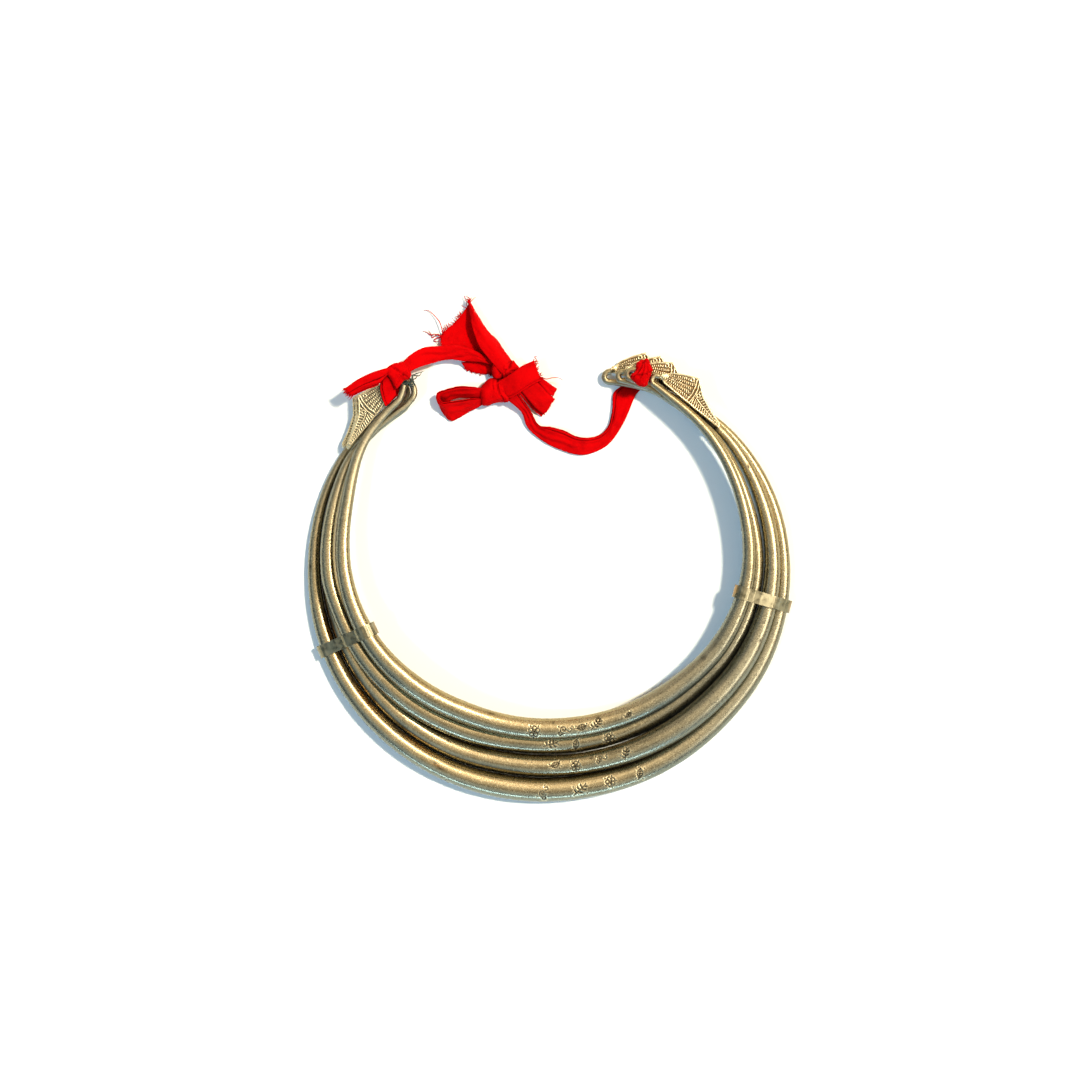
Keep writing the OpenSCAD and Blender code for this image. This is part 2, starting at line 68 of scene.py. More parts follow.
SECOND_TUBE = (
    (127.9, 81.4, 5.2, 1.8), (131, 80.5, 5.1, 1.9), (135, 81.3, 4.9, 2.2), (141, 82.6, 4.6, 2.3),
    (150, 84.3, 4.0, 3.1), (160, 83.0, 3.4, 4.0), (180, 80.7, 3.5, 5.2), (200, 78.1, 4.3, 6.2),
    (220, 75.5, 4.3, 7.2), (240, 72.8, 3.9, 7.6), (260, 70.4, 4.1, 8.0), (280, 70.2, 5.0, 7.8),
    (300, 71.7, 8.3, 8.1), (320, 74.8, 9.8, 8.3), (340, 78.9, 9.4, 7.5), (360, 81.9, 9.1, 6.0),
    (380, 82.7, 8.3, 5.2), (400, 82.2, 7.4, 4.0), (416, 78.6, 6.8, 2.7), (429.2, 76.1, 6.6, 2.2),
)
THIRD_TUBE = (
    (127.9, 81.4, 7.6, 2.3), (130, 80.9, 7.6, 2.35), (133, 81.2, 7.6, 2.4), (143, 82.9, 7.2, 2.7),
    (150, 83.9, 7.6, 3.2), (160, 82.7, 8.4, 4.2), (180, 80.1, 9.3, 5.7), (190, 77.3, 9.7, 5.8),
    (200, 74.7, 9.8, 6.3), (220, 69.5, 8.7, 7.3), (240, 64.9, 5.4, 7.8), (260, 62.0, 4.1, 8.0),
    (280, 61.8, 4.1, 8.1), (300, 63.6, 4.1, 8.1), (320, 67.0, 4.7, 8.2), (340, 71.8, 6.4, 7.1),
    (360, 75.9, 8.8, 5.5), (380, 77.3, 10.4, 4.4), (400, 78.8, 10.4, 3.5), (416, 77.8, 10.1, 2.6),
    (427.2, 77.6, 10.0, 2.2),
)
INNER_TUBE = (
    (127.6, 86.5, 10.1, 2.3), (128.8, 85.2, 10.1, 2.35), (130.5, 84.0, 10.1, 2.5),
    (135, 83.8, 10.1, 2.8), (145, 82.7, 10.7, 3.5), (160, 77.9, 11.9, 4.6), (180, 74.0, 13.0, 5.6),
    (200, 69.0, 13.7, 6.9), (220, 63.2, 13.5, 8.0), (240, 58.5, 11.2, 8.0), (260, 56.5, 10.3, 7.8),
    (280, 56.5, 10.4, 7.8), (300, 58.5, 10.8, 7.6), (320, 62.4, 11.7, 7.5), (340, 68.1, 12.8, 6.8),
    (360, 72.7, 14.0, 5.3), (380, 75.3, 14.6, 4.3), (400, 77.8, 14.3, 3.6), (415, 78.5, 13.8, 2.7),
    (421, 79.4, 13.5, 2.1),
)
# A leaf's curved edge. Columns: ALONG from the eye, ACROSS from the straight edge.
LEAF_OUTLINE = (
    (0, 2.9), (3.2, 5.5), (6.6, 7.6), (10.4, 9.4), (11.6, 9.8), (16.7, 5.8), (21.2, 3.9),
    (24.7, 2.6), (27.3, 1.9), (28.4, 0.9),
)
# Painted shade on the floor of the slot between the inner ring's right leaf and its tube. Columns: X and Y.
# The painted shade lies below the top height that follows, and fades out over the two half widths after it, from
# the line.
SLOT_SHADE_LINE = ((41.0, 71.3), (51.9, 61.1), (61.5, 53.8))
SLOT_SHADE_TOP = 12.3
SLOT_SHADE_HALF = (0.7, 1.4)
LEAF_LENGTH = 28.4
LEAF_WALL = 0.8
ROD = 1.7
# Bearing of the front, which parts the left side from the right.
FRONT = 270
# A distance in millimetres that counts as far from every engraved stroke.
FAR = 9.0
THREAD_SIDES = 5
# Rows of a folded strip's table lie about this far apart, in millimetres.
ROW_SPACING = 6.0
# Uneven surfaces: the slowest wave's share of the finest one's rate, and what brings their mean to about 1.
SLOWEST = 0.35
PEAK = 1.6


def hermite(rows: tuple[tuple[float, ...], ...], at: np.ndarray) -> np.ndarray:
    """Reads a table smoothly: a cubic through its rows, with the slope of each row's neighbours.

    Args:
        rows: the table, with the place in its first column.
        at: the places to read.

    Returns:
        One row for each place, with the table's other columns.
    """
    table = np.asarray(rows, float)
    x, y = table[:, 0], table[:, 1:]
    slope = np.empty_like(y)
    slope[1:-1] = (y[2:] - y[:-2]) / (x[2:] - x[:-2])[:, None]
    slope[0] = (y[1] - y[0]) / (x[1] - x[0])
    slope[-1] = (y[-1] - y[-2]) / (x[-1] - x[-2])
    i = np.clip(np.searchsorted(x, at, side="right") - 1, 0, len(x) - 2)
    h = (x[i + 1] - x[i])[:, None]
    u = (at - x[i])[:, None] / h
    start = y[i] * (1 + 2 * u) * (1 - u) ** 2 + slope[i] * h * u * (1 - u) ** 2
    return start + y[i + 1] * u * u * (3 - 2 * u) + slope[i + 1] * h * u * u * (u - 1)


def numbered(rows: tuple[tuple[float, ...], ...]) -> tuple[tuple[float, ...], ...]:
    """A table with each row's number put before it, as its place."""
    return tuple((i, *row) for i, row in enumerate(rows))


def smooth(x: np.ndarray, low: float, high: float) -> np.ndarray:
    """A step from 0 at low to 1 at high, eased at both ends."""
    t = np.clip((x - low) / (high - low), 0, 1)
    return t * t * (3 - 2 * t)


def path_run(points: np.ndarray) -> np.ndarray:
    """Distance along a path at each of its points: the running sum of its steps."""
    return np.concatenate([[0], np.cumsum(np.linalg.norm(np.diff(points, axis=0), axis=1))])


def ripple(x: np.ndarray, y: np.ndarray, seed: int, waves: int = 7) -> np.ndarray:
    """Smooth unevenness: a sum of seeded sine waves in random directions, within about -1 to 1.

    Args:
        x: first coordinate, in units of the finest wave's length.
        y: second coordinate, in the same units.
        seed: which waves are drawn.
        waves: how many are summed.

    Returns:
        The height at each point.
    """
    draw = np.random.default_rng(seed)
    turn, phase = draw.uniform(0, 2 * np.pi, (2, waves))
    rate = draw.uniform(SLOWEST, 1.0, waves)
    total = sum(
        np.sin(2 * np.pi * r * (x * np.cos(t) + y * np.sin(t)) + p) for r, t, p in zip(rate, turn, phase)
    )
    return total / waves * PEAK


def line_distance(x: np.ndarray, y: np.ndarray, line: np.ndarray) -> np.ndarray:
    """Distance of each point from a line of straight pieces: the least distance to any piece.

    Args:
        x: the points' first coordinate.
        y: the points' second coordinate.
        line: the line's corners, one row each.

    Returns:
        The distance at each point.
    """
    p = np.stack([x, y], -1)[..., None, :]
    a, b = line[:-1], line[1:]
    ab = b - a
    share = np.clip(((p - a) * ab).sum(-1) / np.maximum((ab * ab).sum(-1), 1e-12), 0, 1)
    return np.linalg.norm(p - a - share[..., None] * ab, axis=-1).min(-1)


def left_of(heading: np.ndarray) -> np.ndarray:
    """Unit vectors across the way, to its left: (-sin, cos) of each heading in degrees."""
    return np.c_[-np.sin(np.radians(heading)), np.cos(np.radians(heading))]


def sheet_faces(rows: int, columns: int, closed: bool) -> np.ndarray:
    """Four-cornered faces of a grid of points, row by row.

    Args:
        rows: number of rows.
        columns: number of points in a row.
        closed: whether each row joins its own start.

    Returns:
        One row of four point numbers for each face.
    """
    i, j = np.meshgrid(np.arange(rows - 1), np.arange(columns - (not closed)), indexing="ij")
    k = (j + 1) % columns
    corners = (i * columns + j, i * columns + k, (i + 1) * columns + k, (i + 1) * columns + j)
    return np.stack(corners, -1).reshape(-1, 4)


def in_scene(obj: bpy.types.Object) -> bpy.types.Object:
    """Links an object to the scene and gives it back."""
    bpy.context.scene.collection.objects.link(obj)
    return obj


def put_mesh(
    name: str, points: np.ndarray, quads: np.ndarray, caps: tuple[np.ndarray, ...] = (),
    values: dict[str, np.ndarray] | None = None, uv: np.ndarray | None = None,
) -> bpy.types.Object:
    """Makes an object at the origin from points in millimetres of the choker's plan.

    Args:
        name: the piece's name.
        points: one row of X, Y and Z for each point.
        quads: the four-cornered faces.
        caps: faces with any number of corners.
        values: named numbers kept at the points, for the finish.
        uv: two numbers for each point, for a pattern that follows the surface.

    Returns:
        The new object, smooth shaded.
    """
    sizes = np.concatenate([np.full(len(quads), 4), [len(c) for c in caps]]).astype(np.int32)
    corners = np.concatenate([quads.reshape(-1), *caps]).astype(np.int32)
    mesh = bpy.data.meshes.new(name)
    mesh.vertices.add(len(points))
    mesh.vertices.foreach_set("co", ((points + NECK) * MM).astype(np.float32).reshape(-1))
    mesh.loops.add(len(corners))
    mesh.loops.foreach_set("vertex_index", corners)
    mesh.polygons.add(len(sizes))
    mesh.polygons.foreach_set("loop_start", np.concatenate([[0], np.cumsum(sizes)[:-1]]).astype(np.int32))
    mesh.update(calc_edges=True)
    mesh.polygons.foreach_set("use_smooth", np.ones(len(sizes), bool))
    for key, value in (values or {}).items():
        kept = mesh.attributes.new(key, "FLOAT", "POINT")
        kept.data.foreach_set("value", value.astype(np.float32).reshape(-1))
    if uv is not None:
        flat = mesh.uv_layers.new(name="UVMap")
        flat.data.foreach_set("uv", uv[corners].astype(np.float32).reshape(-1))
    mesh.validate()
    return in_scene(bpy.data.objects.new(name, mesh))


def hex_colour(code: str) -> tuple[float, float, float, float]:
    """Turns an sRGB hex colour into the linear one that a shader takes."""
    share = np.array([int(code[i:i + 2], 16) for i in (1, 3, 5)]) / 255
    linear = np.where(share <= 0.04045, share / 12.92, ((share + 0.055) / 1.055) ** 2.4)
    return (*linear.tolist(), 1.0)


def feed(tree: bpy.types.NodeTree, node: bpy.types.Node, inputs: dict[str | int, object]) -> None:
    """Gives a node's inputs, by name or number, their values, hex colours or feeding sockets."""
    for key, value in inputs.items():
        if isinstance(value, bpy.types.NodeSocket):
            tree.links.new(value, node.inputs[key])
        else:
            node.inputs[key].default_value = hex_colour(value) if isinstance(value, str) else value


def add_node(
    tree: bpy.types.NodeTree, kind: str, inputs: dict[str | int, object] | None = None,
    out: str | int = 0, stops: tuple[tuple[float, str], ...] = (), **settings: object,
) -> bpy.types.NodeSocket:
    """Adds a shader node with its settings, inputs and colour stops.

    Args:
        tree: the tree that the node goes into.
        kind: the node's type, without the words ShaderNode before it.
        inputs: what each input gets, by name or number.
        out: the output that is wanted, by name or number.
        stops: place and hex colour of each stop, where the node has a colour ramp.
        settings: the node's own properties.

    Returns:
        The wanted output.
    """
    made = tree.nodes.new("ShaderNode" + kind)
    for key, value in settings.items():
        setattr(made, key, value)
    feed(tree, made, inputs or {})
    for count, (place, code) in enumerate(stops):
        elements = made.color_ramp.elements
        stop = elements[count] if count < len(elements) else elements.new(place)
        stop.position, stop.color = place, hex_colour(code)
    return made.outputs[out]


def new_material(name: str) -> tuple[bpy.types.Material, bpy.types.NodeTree, bpy.types.Node]:
    """Makes a material and gives it with its tree and its shader."""
    material = bpy.data.materials.new(name)
    material.use_nodes = True
    tree = material.node_tree
    return material, tree, next(n for n in tree.nodes if n.type == "BSDF_PRINCIPLED")


def dress(obj: bpy.types.Object, finish: bpy.types.Material) -> None:
    """Gives an object one finish alone."""
    obj.data.materials.clear()
    obj.data.materials.append(finish)


def put_piece(
    name: str, finish: bpy.types.Material, slot: str, points: np.ndarray, quads: np.ndarray,
    stands_for: str | None = None, **more: object,
) -> bpy.types.Object:
    """Makes a dressed piece that rides on the choker's body.

    Args:
        name: the piece's name.
        finish: its material.
        slot: not used.
        points: its points.
        quads: its four-cornered faces.
        stands_for: the CAD node that it replaces, if it does.
        more: end faces, values and flat places, as put_mesh takes them.

    Returns:
        The piece.
    """
    obj = put_mesh(name, points, quads, **more)
    dress(obj, finish)
    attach(obj, BODY)
    if stands_for:
        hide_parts(stands_for)
    return obj


@dataclass(frozen=True)
class OldSilver:
    """Drawn and hammered low silver: lighter on its rubbed top, golden on the side towards the window, grey
    green elsewhere.

    The golden side is painted warm light, and the top's lightness is partly painted light. The hammered grain is
    painted with glints in small dots. Dirt is brown black in grooves and pits; between the rings and in the slot
    under the inner ring's right leaf the same brown black is painted shade.
    The *_mm fields are the real sizes of its patterns.
    """

    worn_and_lit: str = "#C2B088"
    window_gold: str = "#A8905E"
    olive: str = "#767F78"
    tarnish: str = "#4A4430"
    painted_glint: str = "#F4E6BC"
    oxide_and_shade: str = "#100A04"
    rust: str = "#9A6420"
    roughness: float = 0.19
    dulled: float = 0.2
    blotch_mm: float = 7.0
    grain_mm: float = 0.8
    fine_mm: float = 0.42
    pit_mm: float = 0.6
    crack_mm: float = 1.6
    occlusion_reach_mm: float = 2.2
    bump_mm: float = 0.075

    def material(self) -> bpy.types.Material:
        """Builds the finish: tone by wear and by painted window light, painted glints, dirt in grooves, pits,
        cracks and stains, and painted shade between the rings.

        Returns:
            The material.
        """
        # Silver with much copper in it: the eye sees a soft grey green metal with a warm, grainy shine.
        material, tree, shader = new_material("old silver, drawn, stamped and tarnished")
        node = partial(add_node, tree)
        place = node("TexCoord", out="Object")
        blotch, grain, fine = (
            node("TexNoise", {
                "Vector": place, "Scale": 1 / (size * MM), "Detail": detail, "Roughness": 0.6,
            }, "Fac") for size, detail in ((self.blotch_mm, 4.0), (self.grain_mm, 2.0), (self.fine_mm, 1.0))
        )
        rubbed_lit_crest, window_gold, groove, painted_highlight, chased, stain, dull, rust = (
            node("Attribute", out="Fac", attribute_name=key)
            for key in ("rubbed_lit_crest", "window_gold", "groove", "painted_highlight", "chased", "stain", "dull", "rust")
        )
        # The two sides' tones, the golden one painted warm light from the window; the lighter rubbed crest over
        # them, partly painted light; and thin patches of tarnish over all.
        tone = node("Mix", {0: window_gold, 6: self.olive, 7: self.window_gold}, **COLOURS)
        rubbed = node("MapRange", {0: blotch, 1: 0.3, 2: 0.7, 3: 0.5, 4: 0.9})
        rubbed = node("Math", {0: rubbed_lit_crest, 1: rubbed}, **TIMES)
        tone = node("Mix", {0: rubbed, 6: tone, 7: self.worn_and_lit}, **COLOURS)
        spread = node("Math", {0: blotch, 1: grain}, operation="ADD")
        patch = node("MapRange", {0: spread, 1: 0.75, 2: 1.1, 3: 0.22, 4: 0.0})
        tone = node("Mix", {0: patch, 6: tone, 7: self.tarnish}, **COLOURS)
        # Painted glints where the grain stands up, most of them on the crest, and painted highlights on leaf
        # relief and cut lips.
        standing = node("MapRange", {0: fine, 1: 0.56, 2: 0.68})
        on_crest = node("MapRange", {0: rubbed_lit_crest, 1: 0.2, 2: 0.9, 3: 0.1, 4: 0.45})
        painted_glint = node("Math", {0: node("Math", {0: standing, 1: on_crest}, **TIMES), 1: painted_highlight}, **PLUS)
        tone = node("Mix", {0: painted_glint, 6: tone, 7: self.painted_glint}, **COLOURS)
        # Dirt in cut lines, thin cracks, pits and stains. Painted shade in the slot under the right leaf,
        # carried with the stains, and between the rings, where ambient occlusion finds little open sky.
        cells = node("TexVoronoi", {
            "Vector": place, "Scale": 1 / (self.crack_mm * MM), "Randomness": 1.0,
        }, "Distance", feature="DISTANCE_TO_EDGE")
        crack = node("MapRange", {0: cells, 2: 0.06, 3: 1.0, 4: 0.0})
        crack = node("Math", {0: crack, 1: node("MapRange", {0: blotch, 1: 0.52, 2: 0.62})}, **TIMES)
        spots = node("TexVoronoi", {"Vector": place, "Scale": 1 / (self.pit_mm * MM)}, "Color")
        chance = node("MapRange", {0: node("SeparateColor", {0: spots}), 1: 0.86, 2: 0.95})
        near = node("MapRange", {0: spots.node.outputs["Distance"], 1: 0.15, 2: 0.45, 3: 1.0, 4: 0.0})
        pit = node("Math", {0: chance, 1: near}, **TIMES)
        open_sky = node("AmbientOcclusion", {"Distance": self.occlusion_reach_mm * MM}, "AO", samples=8)
        occlusion_shade = node("MapRange", {0: open_sky, 1: 0.05, 2: 0.3, 3: 0.75, 4: 0.0})
        in_cuts = node("MapRange", {0: fine, 1: 0.38, 2: 0.56, 3: 0.45, 4: 1.0})
        in_stains = node("MapRange", {0: grain, 1: 0.3, 2: 0.6, 3: 0.5, 4: 1.0})
        off_rust = node("MapRange", {0: rust, 3: 0.95, 4: 0.4})
        dirt_and_shade = node("Math", {0: groove, 1: in_cuts}, **TIMES)
        for layer, share in ((crack, 0.5), (pit, 0.7), (stain, in_stains), (occlusion_shade, off_rust)):
            dirt_and_shade = node("Math", {0: dirt_and_shade, 1: node("Math", {0: layer, 1: share}, **TIMES)}, **PLUS)
        rusty = node("Math", {0: rust, 1: node("MapRange", {0: grain, 1: 0.3, 2: 0.55})}, **TIMES)
        tone = node("Mix", {0: rusty, 6: tone, 7: self.rust}, **COLOURS)
        tone = node("Mix", {0: dirt_and_shade, 6: tone, 7: self.oxide_and_shade}, **COLOURS)
        # The dirt, the painted shade and the hammer's grain roughen the shine, and the bump is full beside the
        # cut figures alone.
        rough = node("Math", {0: fine, 1: dirt_and_shade}, **PLUS)
        rough = node("MapRange", {0: rough, 1: 0.3, 3: self.roughness - 0.05, 4: self.roughness + 0.3})
        rough = node("Math", {0: rough, 1: node("Math", {0: dull, 1: self.dulled}, **TIMES)}, **PLUS)
        height = node("Math", {0: fine, 1: 0.5, 2: grain}, operation="MULTIPLY_ADD")
        height = node("Math", {0: dirt_and_shade, 1: -0.3, 2: height}, operation="MULTIPLY_ADD")
        strength = node("MapRange", {0: chased, 3: 0.1, 4: 1.0})
        bump = node("Bump", {"Height": height, "Strength": strength, "Distance": self.bump_mm * MM})
        feed(tree, shader, {"Metallic": 1.0, "Base Color": tone, "Roughness": rough, "Normal": bump})
        return material


@dataclass(frozen=True)
class SilverStrip:
    """Thin rolled strip of silver, bent cold: smoother and greyer than the tubes, with a fine grit."""

    colour: str = "#9C9478"
    shade: str = "#6F6A54"
    rubbed: str = "#A07A48"
    ends: tuple[tuple[float, float, float], ...] = (
        (-62.6, -19.3, 13.0), (67.9, -5.1, 14.0), (88.8, -11.1, 4.0),
    )
    end_reach: float = 3.6
    roughness: float = 0.24
    cloud_mm: float = 2.5
    grit_mm: float = 0.3
    bump_mm: float = 0.04

    def material(self) -> bpy.types.Material:
        """Builds the finish: soft blotches, fine grit, and ends rubbed down to a tan."""
        # A flat sheet without the tubes' grain: the eye sees broad, calm reflections and tan ends.
        material, tree, shader = new_material("silver strip, rolled and bent cold")
        node = partial(add_node, tree)
        place = node("TexCoord", out="Object")
        cloud, grit = (
            node("TexNoise", {"Vector": place, "Scale": 1 / (size * MM), "Detail": detail}, "Fac")
            for size, detail in ((self.cloud_mm, 4.0), (self.grit_mm, 2.0))
        )
        tone = node("ValToRGB", {"Fac": cloud}, stops=((0.3, self.shade), (0.6, self.colour)))
        for end in self.ends:
            away = node("VectorMath", {0: place, 1: Vector((end + NECK) * MM)}, "Value", operation="DISTANCE")
            reach = self.end_reach * MM
            near = node("MapRange", {0: away, 1: 0.5 * reach, 2: reach, 3: 0.85, 4: 0.0})
            tone = node("Mix", {0: near, 6: tone, 7: self.rubbed}, **COLOURS)
        rough = node("MapRange", {0: cloud, 1: 0.3, 2: 0.7, 3: self.roughness, 4: self.roughness + 0.14})
        bump = node("Bump", {"Height": grit, "Strength": 0.3, "Distance": self.bump_mm * MM})
        feed(tree, shader, {"Metallic": 1.0, "Base Color": tone, "Roughness": rough, "Normal": bump})
        return material


class Motif(Enum):
    """Small engraved figures, as strokes within 2.6 mm of their middle."""

    BLOSSOM = "blossom"
    SPRIG = "sprig"
    LEAF = "leaf"
    CLOUD = "cloud"

    def strokes(self) -> list[np.ndarray]:
        """The figure's strokes, each a line of points in millimetres."""
        t = np.linspace(0, 2 * np.pi, 9)
        dots = [
            np.array([[x, y], [x + 0.2, y]]) for x, y in ((2.5, 0.9), (-2.6, 1.2), (2.3, -1.6), (-2.2, -1.9))
        ]
        if self is Motif.BLOSSOM:
            petals = [
                np.c_[1.35 * np.cos(a) + 0.72 * np.cos(t), 1.35 * np.sin(a) + 0.72 * np.sin(t)]
                for a in np.radians(90 + 72 * np.arange(5))
            ]
            sepals = [
                np.array([[2.1 * np.cos(a), 2.1 * np.sin(a)], [2.6 * np.cos(a), 2.6 * np.sin(a)]])
                for a in np.radians(54 + 72 * np.arange(5))
            ]
            return [*petals, *sepals, np.c_[0.3 * np.cos(t), 0.3 * np.sin(t)]]
        if self is Motif.SPRIG:
            stem = np.array([[-2.4, -1.8], [-0.9, -0.6], [0.6, 0.2], [2.3, 1.9]])
            leaves = [
                np.array([[x, y], [x + dx, y + dy], [x + 1.5 * dx, y + 0.6 * dy], [x, y]])
                for x, y, dx, dy in (
                    (-1.5, -1.0, -0.5, 1.3), (-0.4, -0.3, -0.4, 1.5), (0.8, 0.4, -0.5, 1.5),
                    (-0.9, -0.6, 1.1, -0.7), (0.3, 0.1, 1.3, -0.6), (1.3, 0.9, 1.0, -0.2),
                )
            ]
            return [stem, *leaves, *dots[1:3]]
        if self is Motif.LEAF:
            x = np.linspace(-2.2, 2.2, 9)
            arc = 1.25 * np.cos(x / 2.2 * np.pi / 2)
            veins = [np.array([[v, 0.0], [v + 0.5, s * 0.8]]) for v in (-1.2, -0.3, 0.6) for s in (1, -1)]
            return [np.c_[x, arc], np.c_[x, -arc], np.array([[-2.6, 0.0], [2.0, 0.0]]), *veins, *dots]
        turns = np.linspace(0.3, 3.6 * np.pi, 26)
        curl = np.c_[0.13 * turns * np.cos(turns), 0.13 * turns * np.sin(turns)]
        tail = np.array([[0.6, -0.4], [1.7, -1.1], [2.5, -0.2], [1.8, 0.5]])
        return [curl - [0.7, 0], tail, tail * [-0.8, 1] - [0.6, 1.2], *dots[:2]]


@dataclass(frozen=True)
class Engraving:
    """One figure cut into a tube: its bearing, its shift inwards in millimetres, its turn and its size."""

    motif: Motif
    bearing: float
    shift: float
    turn: float = 0.0
    size: float = 1.0


@dataclass(frozen=True)
class Mark:
    """A stain in a slight dent on a tube, or a patch of rust: bearing, shift inwards, half sizes, strength."""

    bearing: float
    shift: float
    length: float
    width: float
    strength: float = 1.0
    rust: bool = False


@dataclass(frozen=True)
class TurnedEnd:
    """A ring's end: radius of its eye, heading of its leaf, bend and rise of the leaf's tip, and rod."""

    radius: float
    heading: float
    bend: float
    rise: float
    rod: float = ROD


@dataclass
class Stations:
    """Sections along a ring from tip to tip, as arrays of one number or row each."""

    centre: np.ndarray
    heading: np.ndarray
    width: np.ndarray
    leaf_place: np.ndarray
    bearing: np.ndarray


@dataclass
class NeckRing:
    """A ring of round tube whose ends turn back in an eye and run out in a stamped leaf."""

    node: str
    tube: tuple[tuple[float, float, float, float], ...]
    left: TurnedEnd
    right: TurnedEnd
    engravings: tuple[Engraving, ...] = ()
    marks: tuple[Mark, ...] = ()
    seed: int = 1
    top_steps: int = 60
    under_steps: int = 12
    plain_step: float = 0.8
    eye_step: float = 0.3
    engraved_step: float = 0.2
    engraved_zone: tuple[float, float] = (261.0, 303.0)
    flatten_length: float = 2.6
    bend_zone: tuple[float, float] = (8.0, 20.0)
    leaf_step: float = 0.2
    # The stamped ribs and veins are about 0.6 mm apart, too fine for the render, so they are wider here.
    rib_rows: float = 5.0
    rib_mm: float = 0.85
    vein_mm: float = 1.0
    hatch_mm: float = 0.62
    ribbed_length: float = 11.2
    veined_from: float = 14.2
    dots: tuple[tuple[float, float], ...] = ((9.9, 7.7), (15.3, 4.6))
    dot_radius: float = 0.62
    relief_depth: float = 0.26
    edge_radius: float = 0.3
    tip_length: float = 0.8
    # How far the bottom and the top of a cut reach from its middle, and where its raised lip lies.
    cut_reach: tuple[float, float] = (0.1, 0.26)
    lip_reach: float = 0.46
    lip_width: float = 0.17
    chased_reach: tuple[float, float] = (0.7, 1.6)
    groove_depth: float = 0.12
    lip_height: float = 0.03
    dent_depth: float = 0.06
    # Lengths of the tube's unevenness along it and round it: slow swells and the hammer's marks.
    swell_mm: tuple[float, float] = (26.0, 16.0)
    swell: float = 0.006
    hammer_mm: tuple[float, float] = (4.5, 3.0)
    hammer: float = 0.008
    # The way to the window: the silver's side towards it is painted golden, as warm light.
    window: tuple[float, float] = (0.5, 0.87)
    # Eased changes of the dullness, from 1 at the left end. Columns: BEARING from, BEARING to, CHANGE.
    dull_steps: tuple[tuple[float, float, float], ...] = (
        (145, 180, -1.0), (285, 320, 0.6), (385, 410, 0.5), (335, 355, -0.4),
    )
    grey_zone: tuple[float, float, float, float] = (280, 315, 345, 375)
    worn_off: tuple[float, float] = (292, 345)
    right_dulling: float = 0.4

    def tube_point(self, bearing: np.ndarray) -> np.ndarray:
        """Points of the tube's centre line: the table's reach laid off along each bearing."""
        row = hermite(self.tube, bearing)
        angle = np.radians(bearing)
        return np.c_[row[:, 0] * np.cos(angle), row[:, 0] * np.sin(angle), row[:, 1]]

    def tube_heading(self, bearing: np.ndarray) -> np.ndarray:
        """Direction of travel along the centre line, from points 0.4 degrees to either side."""
        low = np.maximum(bearing - 0.4, self.tube[0][0])
        high = np.minimum(bearing + 0.4, self.tube[-1][0])
        step = self.tube_point(high) - self.tube_point(low)
        return np.degrees(np.unwrap(np.arctan2(step[:, 1], step[:, 0])))

    def tube_bearings(self) -> np.ndarray:
        """Bearings of the tube's sections, closer together where it is engraved."""
        first, last = self.tube[0][0], self.tube[-1][0]
        sample = np.linspace(first, last, 4000)
        run = np.linalg.norm(np.diff(self.tube_point(sample), axis=0), axis=1)
        middle = (sample[1:] + sample[:-1]) / 2
        zone = smooth(middle, self.engraved_zone[0] - 2, self.engraved_zone[0]) * (
            1 - smooth(middle, self.engraved_zone[1], self.engraved_zone[1] + 2))
        step = self.plain_step + (self.engraved_step - self.plain_step) * zone
        count = np.concatenate([[0], np.cumsum(run / step)])
        return np.interp(np.linspace(0, count[-1], int(count[-1]) + 1), count, sample)

    def end_stations(self, end: TurnedEnd, turn: int) -> Stations:
        """Sections from a tube's end round its eye and out along its leaf.

        The eye is an arc that turns from the tube's heading to the leaf's. The leaf's straight edge then
        follows that heading, bent outwards past its first third, and its middle is shifted to one side
        by half of its extra width.

        Args:
            end: sizes of this end.
            turn: 1 for the left end and -1 for the right end.

        Returns:
            The sections, walked outwards.
        """
        bearing = np.array([self.tube[0][0] if turn > 0 else self.tube[-1][0]])
        start_point = self.tube_point(bearing)[0]
        away = self.tube_heading(bearing)[0] + (180 if turn > 0 else 0)
        over = (away - end.heading + 60 * turn) / 360
        start = away - 360 * (np.ceil(over) if turn > 0 else np.floor(over))
        middle = start_point[:2] + end.radius * turn * left_of(np.array([start]))[0]
        steps = max(int(abs(end.heading - start) * np.pi / 180 * end.radius / self.eye_step), 16)
        heading = np.linspace(start, end.heading, steps + 1)[1:]
        eye = np.c_[middle - end.radius * turn * left_of(heading), np.full(steps, start_point[2])]
        count = int(LEAF_LENGTH / self.leaf_step)
        place = np.linspace(0, LEAF_LENGTH, count + 1)[1:]
        low, high = self.bend_zone
        leaf_heading = end.heading - turn * end.bend * np.clip((place - low) / (high - low), 0, 1)
        before = np.concatenate([[end.heading], leaf_heading[:-1]])
        stride = np.c_[np.cos(np.radians(before)), np.sin(np.radians(before))] * (LEAF_LENGTH / count)
        line = eye[-1, :2] + np.cumsum(stride, axis=0)
        outline = np.asarray(LEAF_OUTLINE, float)
        width = np.interp(place, outline[:, 0], outline[:, 1])
        line = line - left_of(leaf_heading) * ((width - ROD) / 2 * turn)[:, None]
        height = start_point[2] + end.rise * np.clip(place / low, 0, 1)
        return Stations(
            np.concatenate([eye, np.c_[line, height]]),
            np.concatenate([heading, leaf_heading]),
            np.concatenate([np.full(steps, end.rod), width]),
            np.concatenate([np.full(steps, -1.0), place]),
            np.full(steps + count, bearing[0]),
        )

    def stations(self) -> Stations:
        """All sections from the left leaf's tip over the tube to the right leaf's tip."""
        left, right = self.end_stations(self.left, 1), self.end_stations(self.right, -1)
        bearing = self.tube_bearings()
        width = hermite(self.tube, bearing)[:, 2]
        return Stations(
            np.concatenate([left.centre[::-1], self.tube_point(bearing), right.centre]),
            np.concatenate([left.heading[::-1] + 180, self.tube_heading(bearing), right.heading]),
            np.concatenate([left.width[::-1], width, right.width]),
            np.concatenate([left.leaf_place[::-1], np.full(len(bearing), -1.0), right.leaf_place]),
            np.concatenate([left.bearing, bearing, right.bearing]),
        )

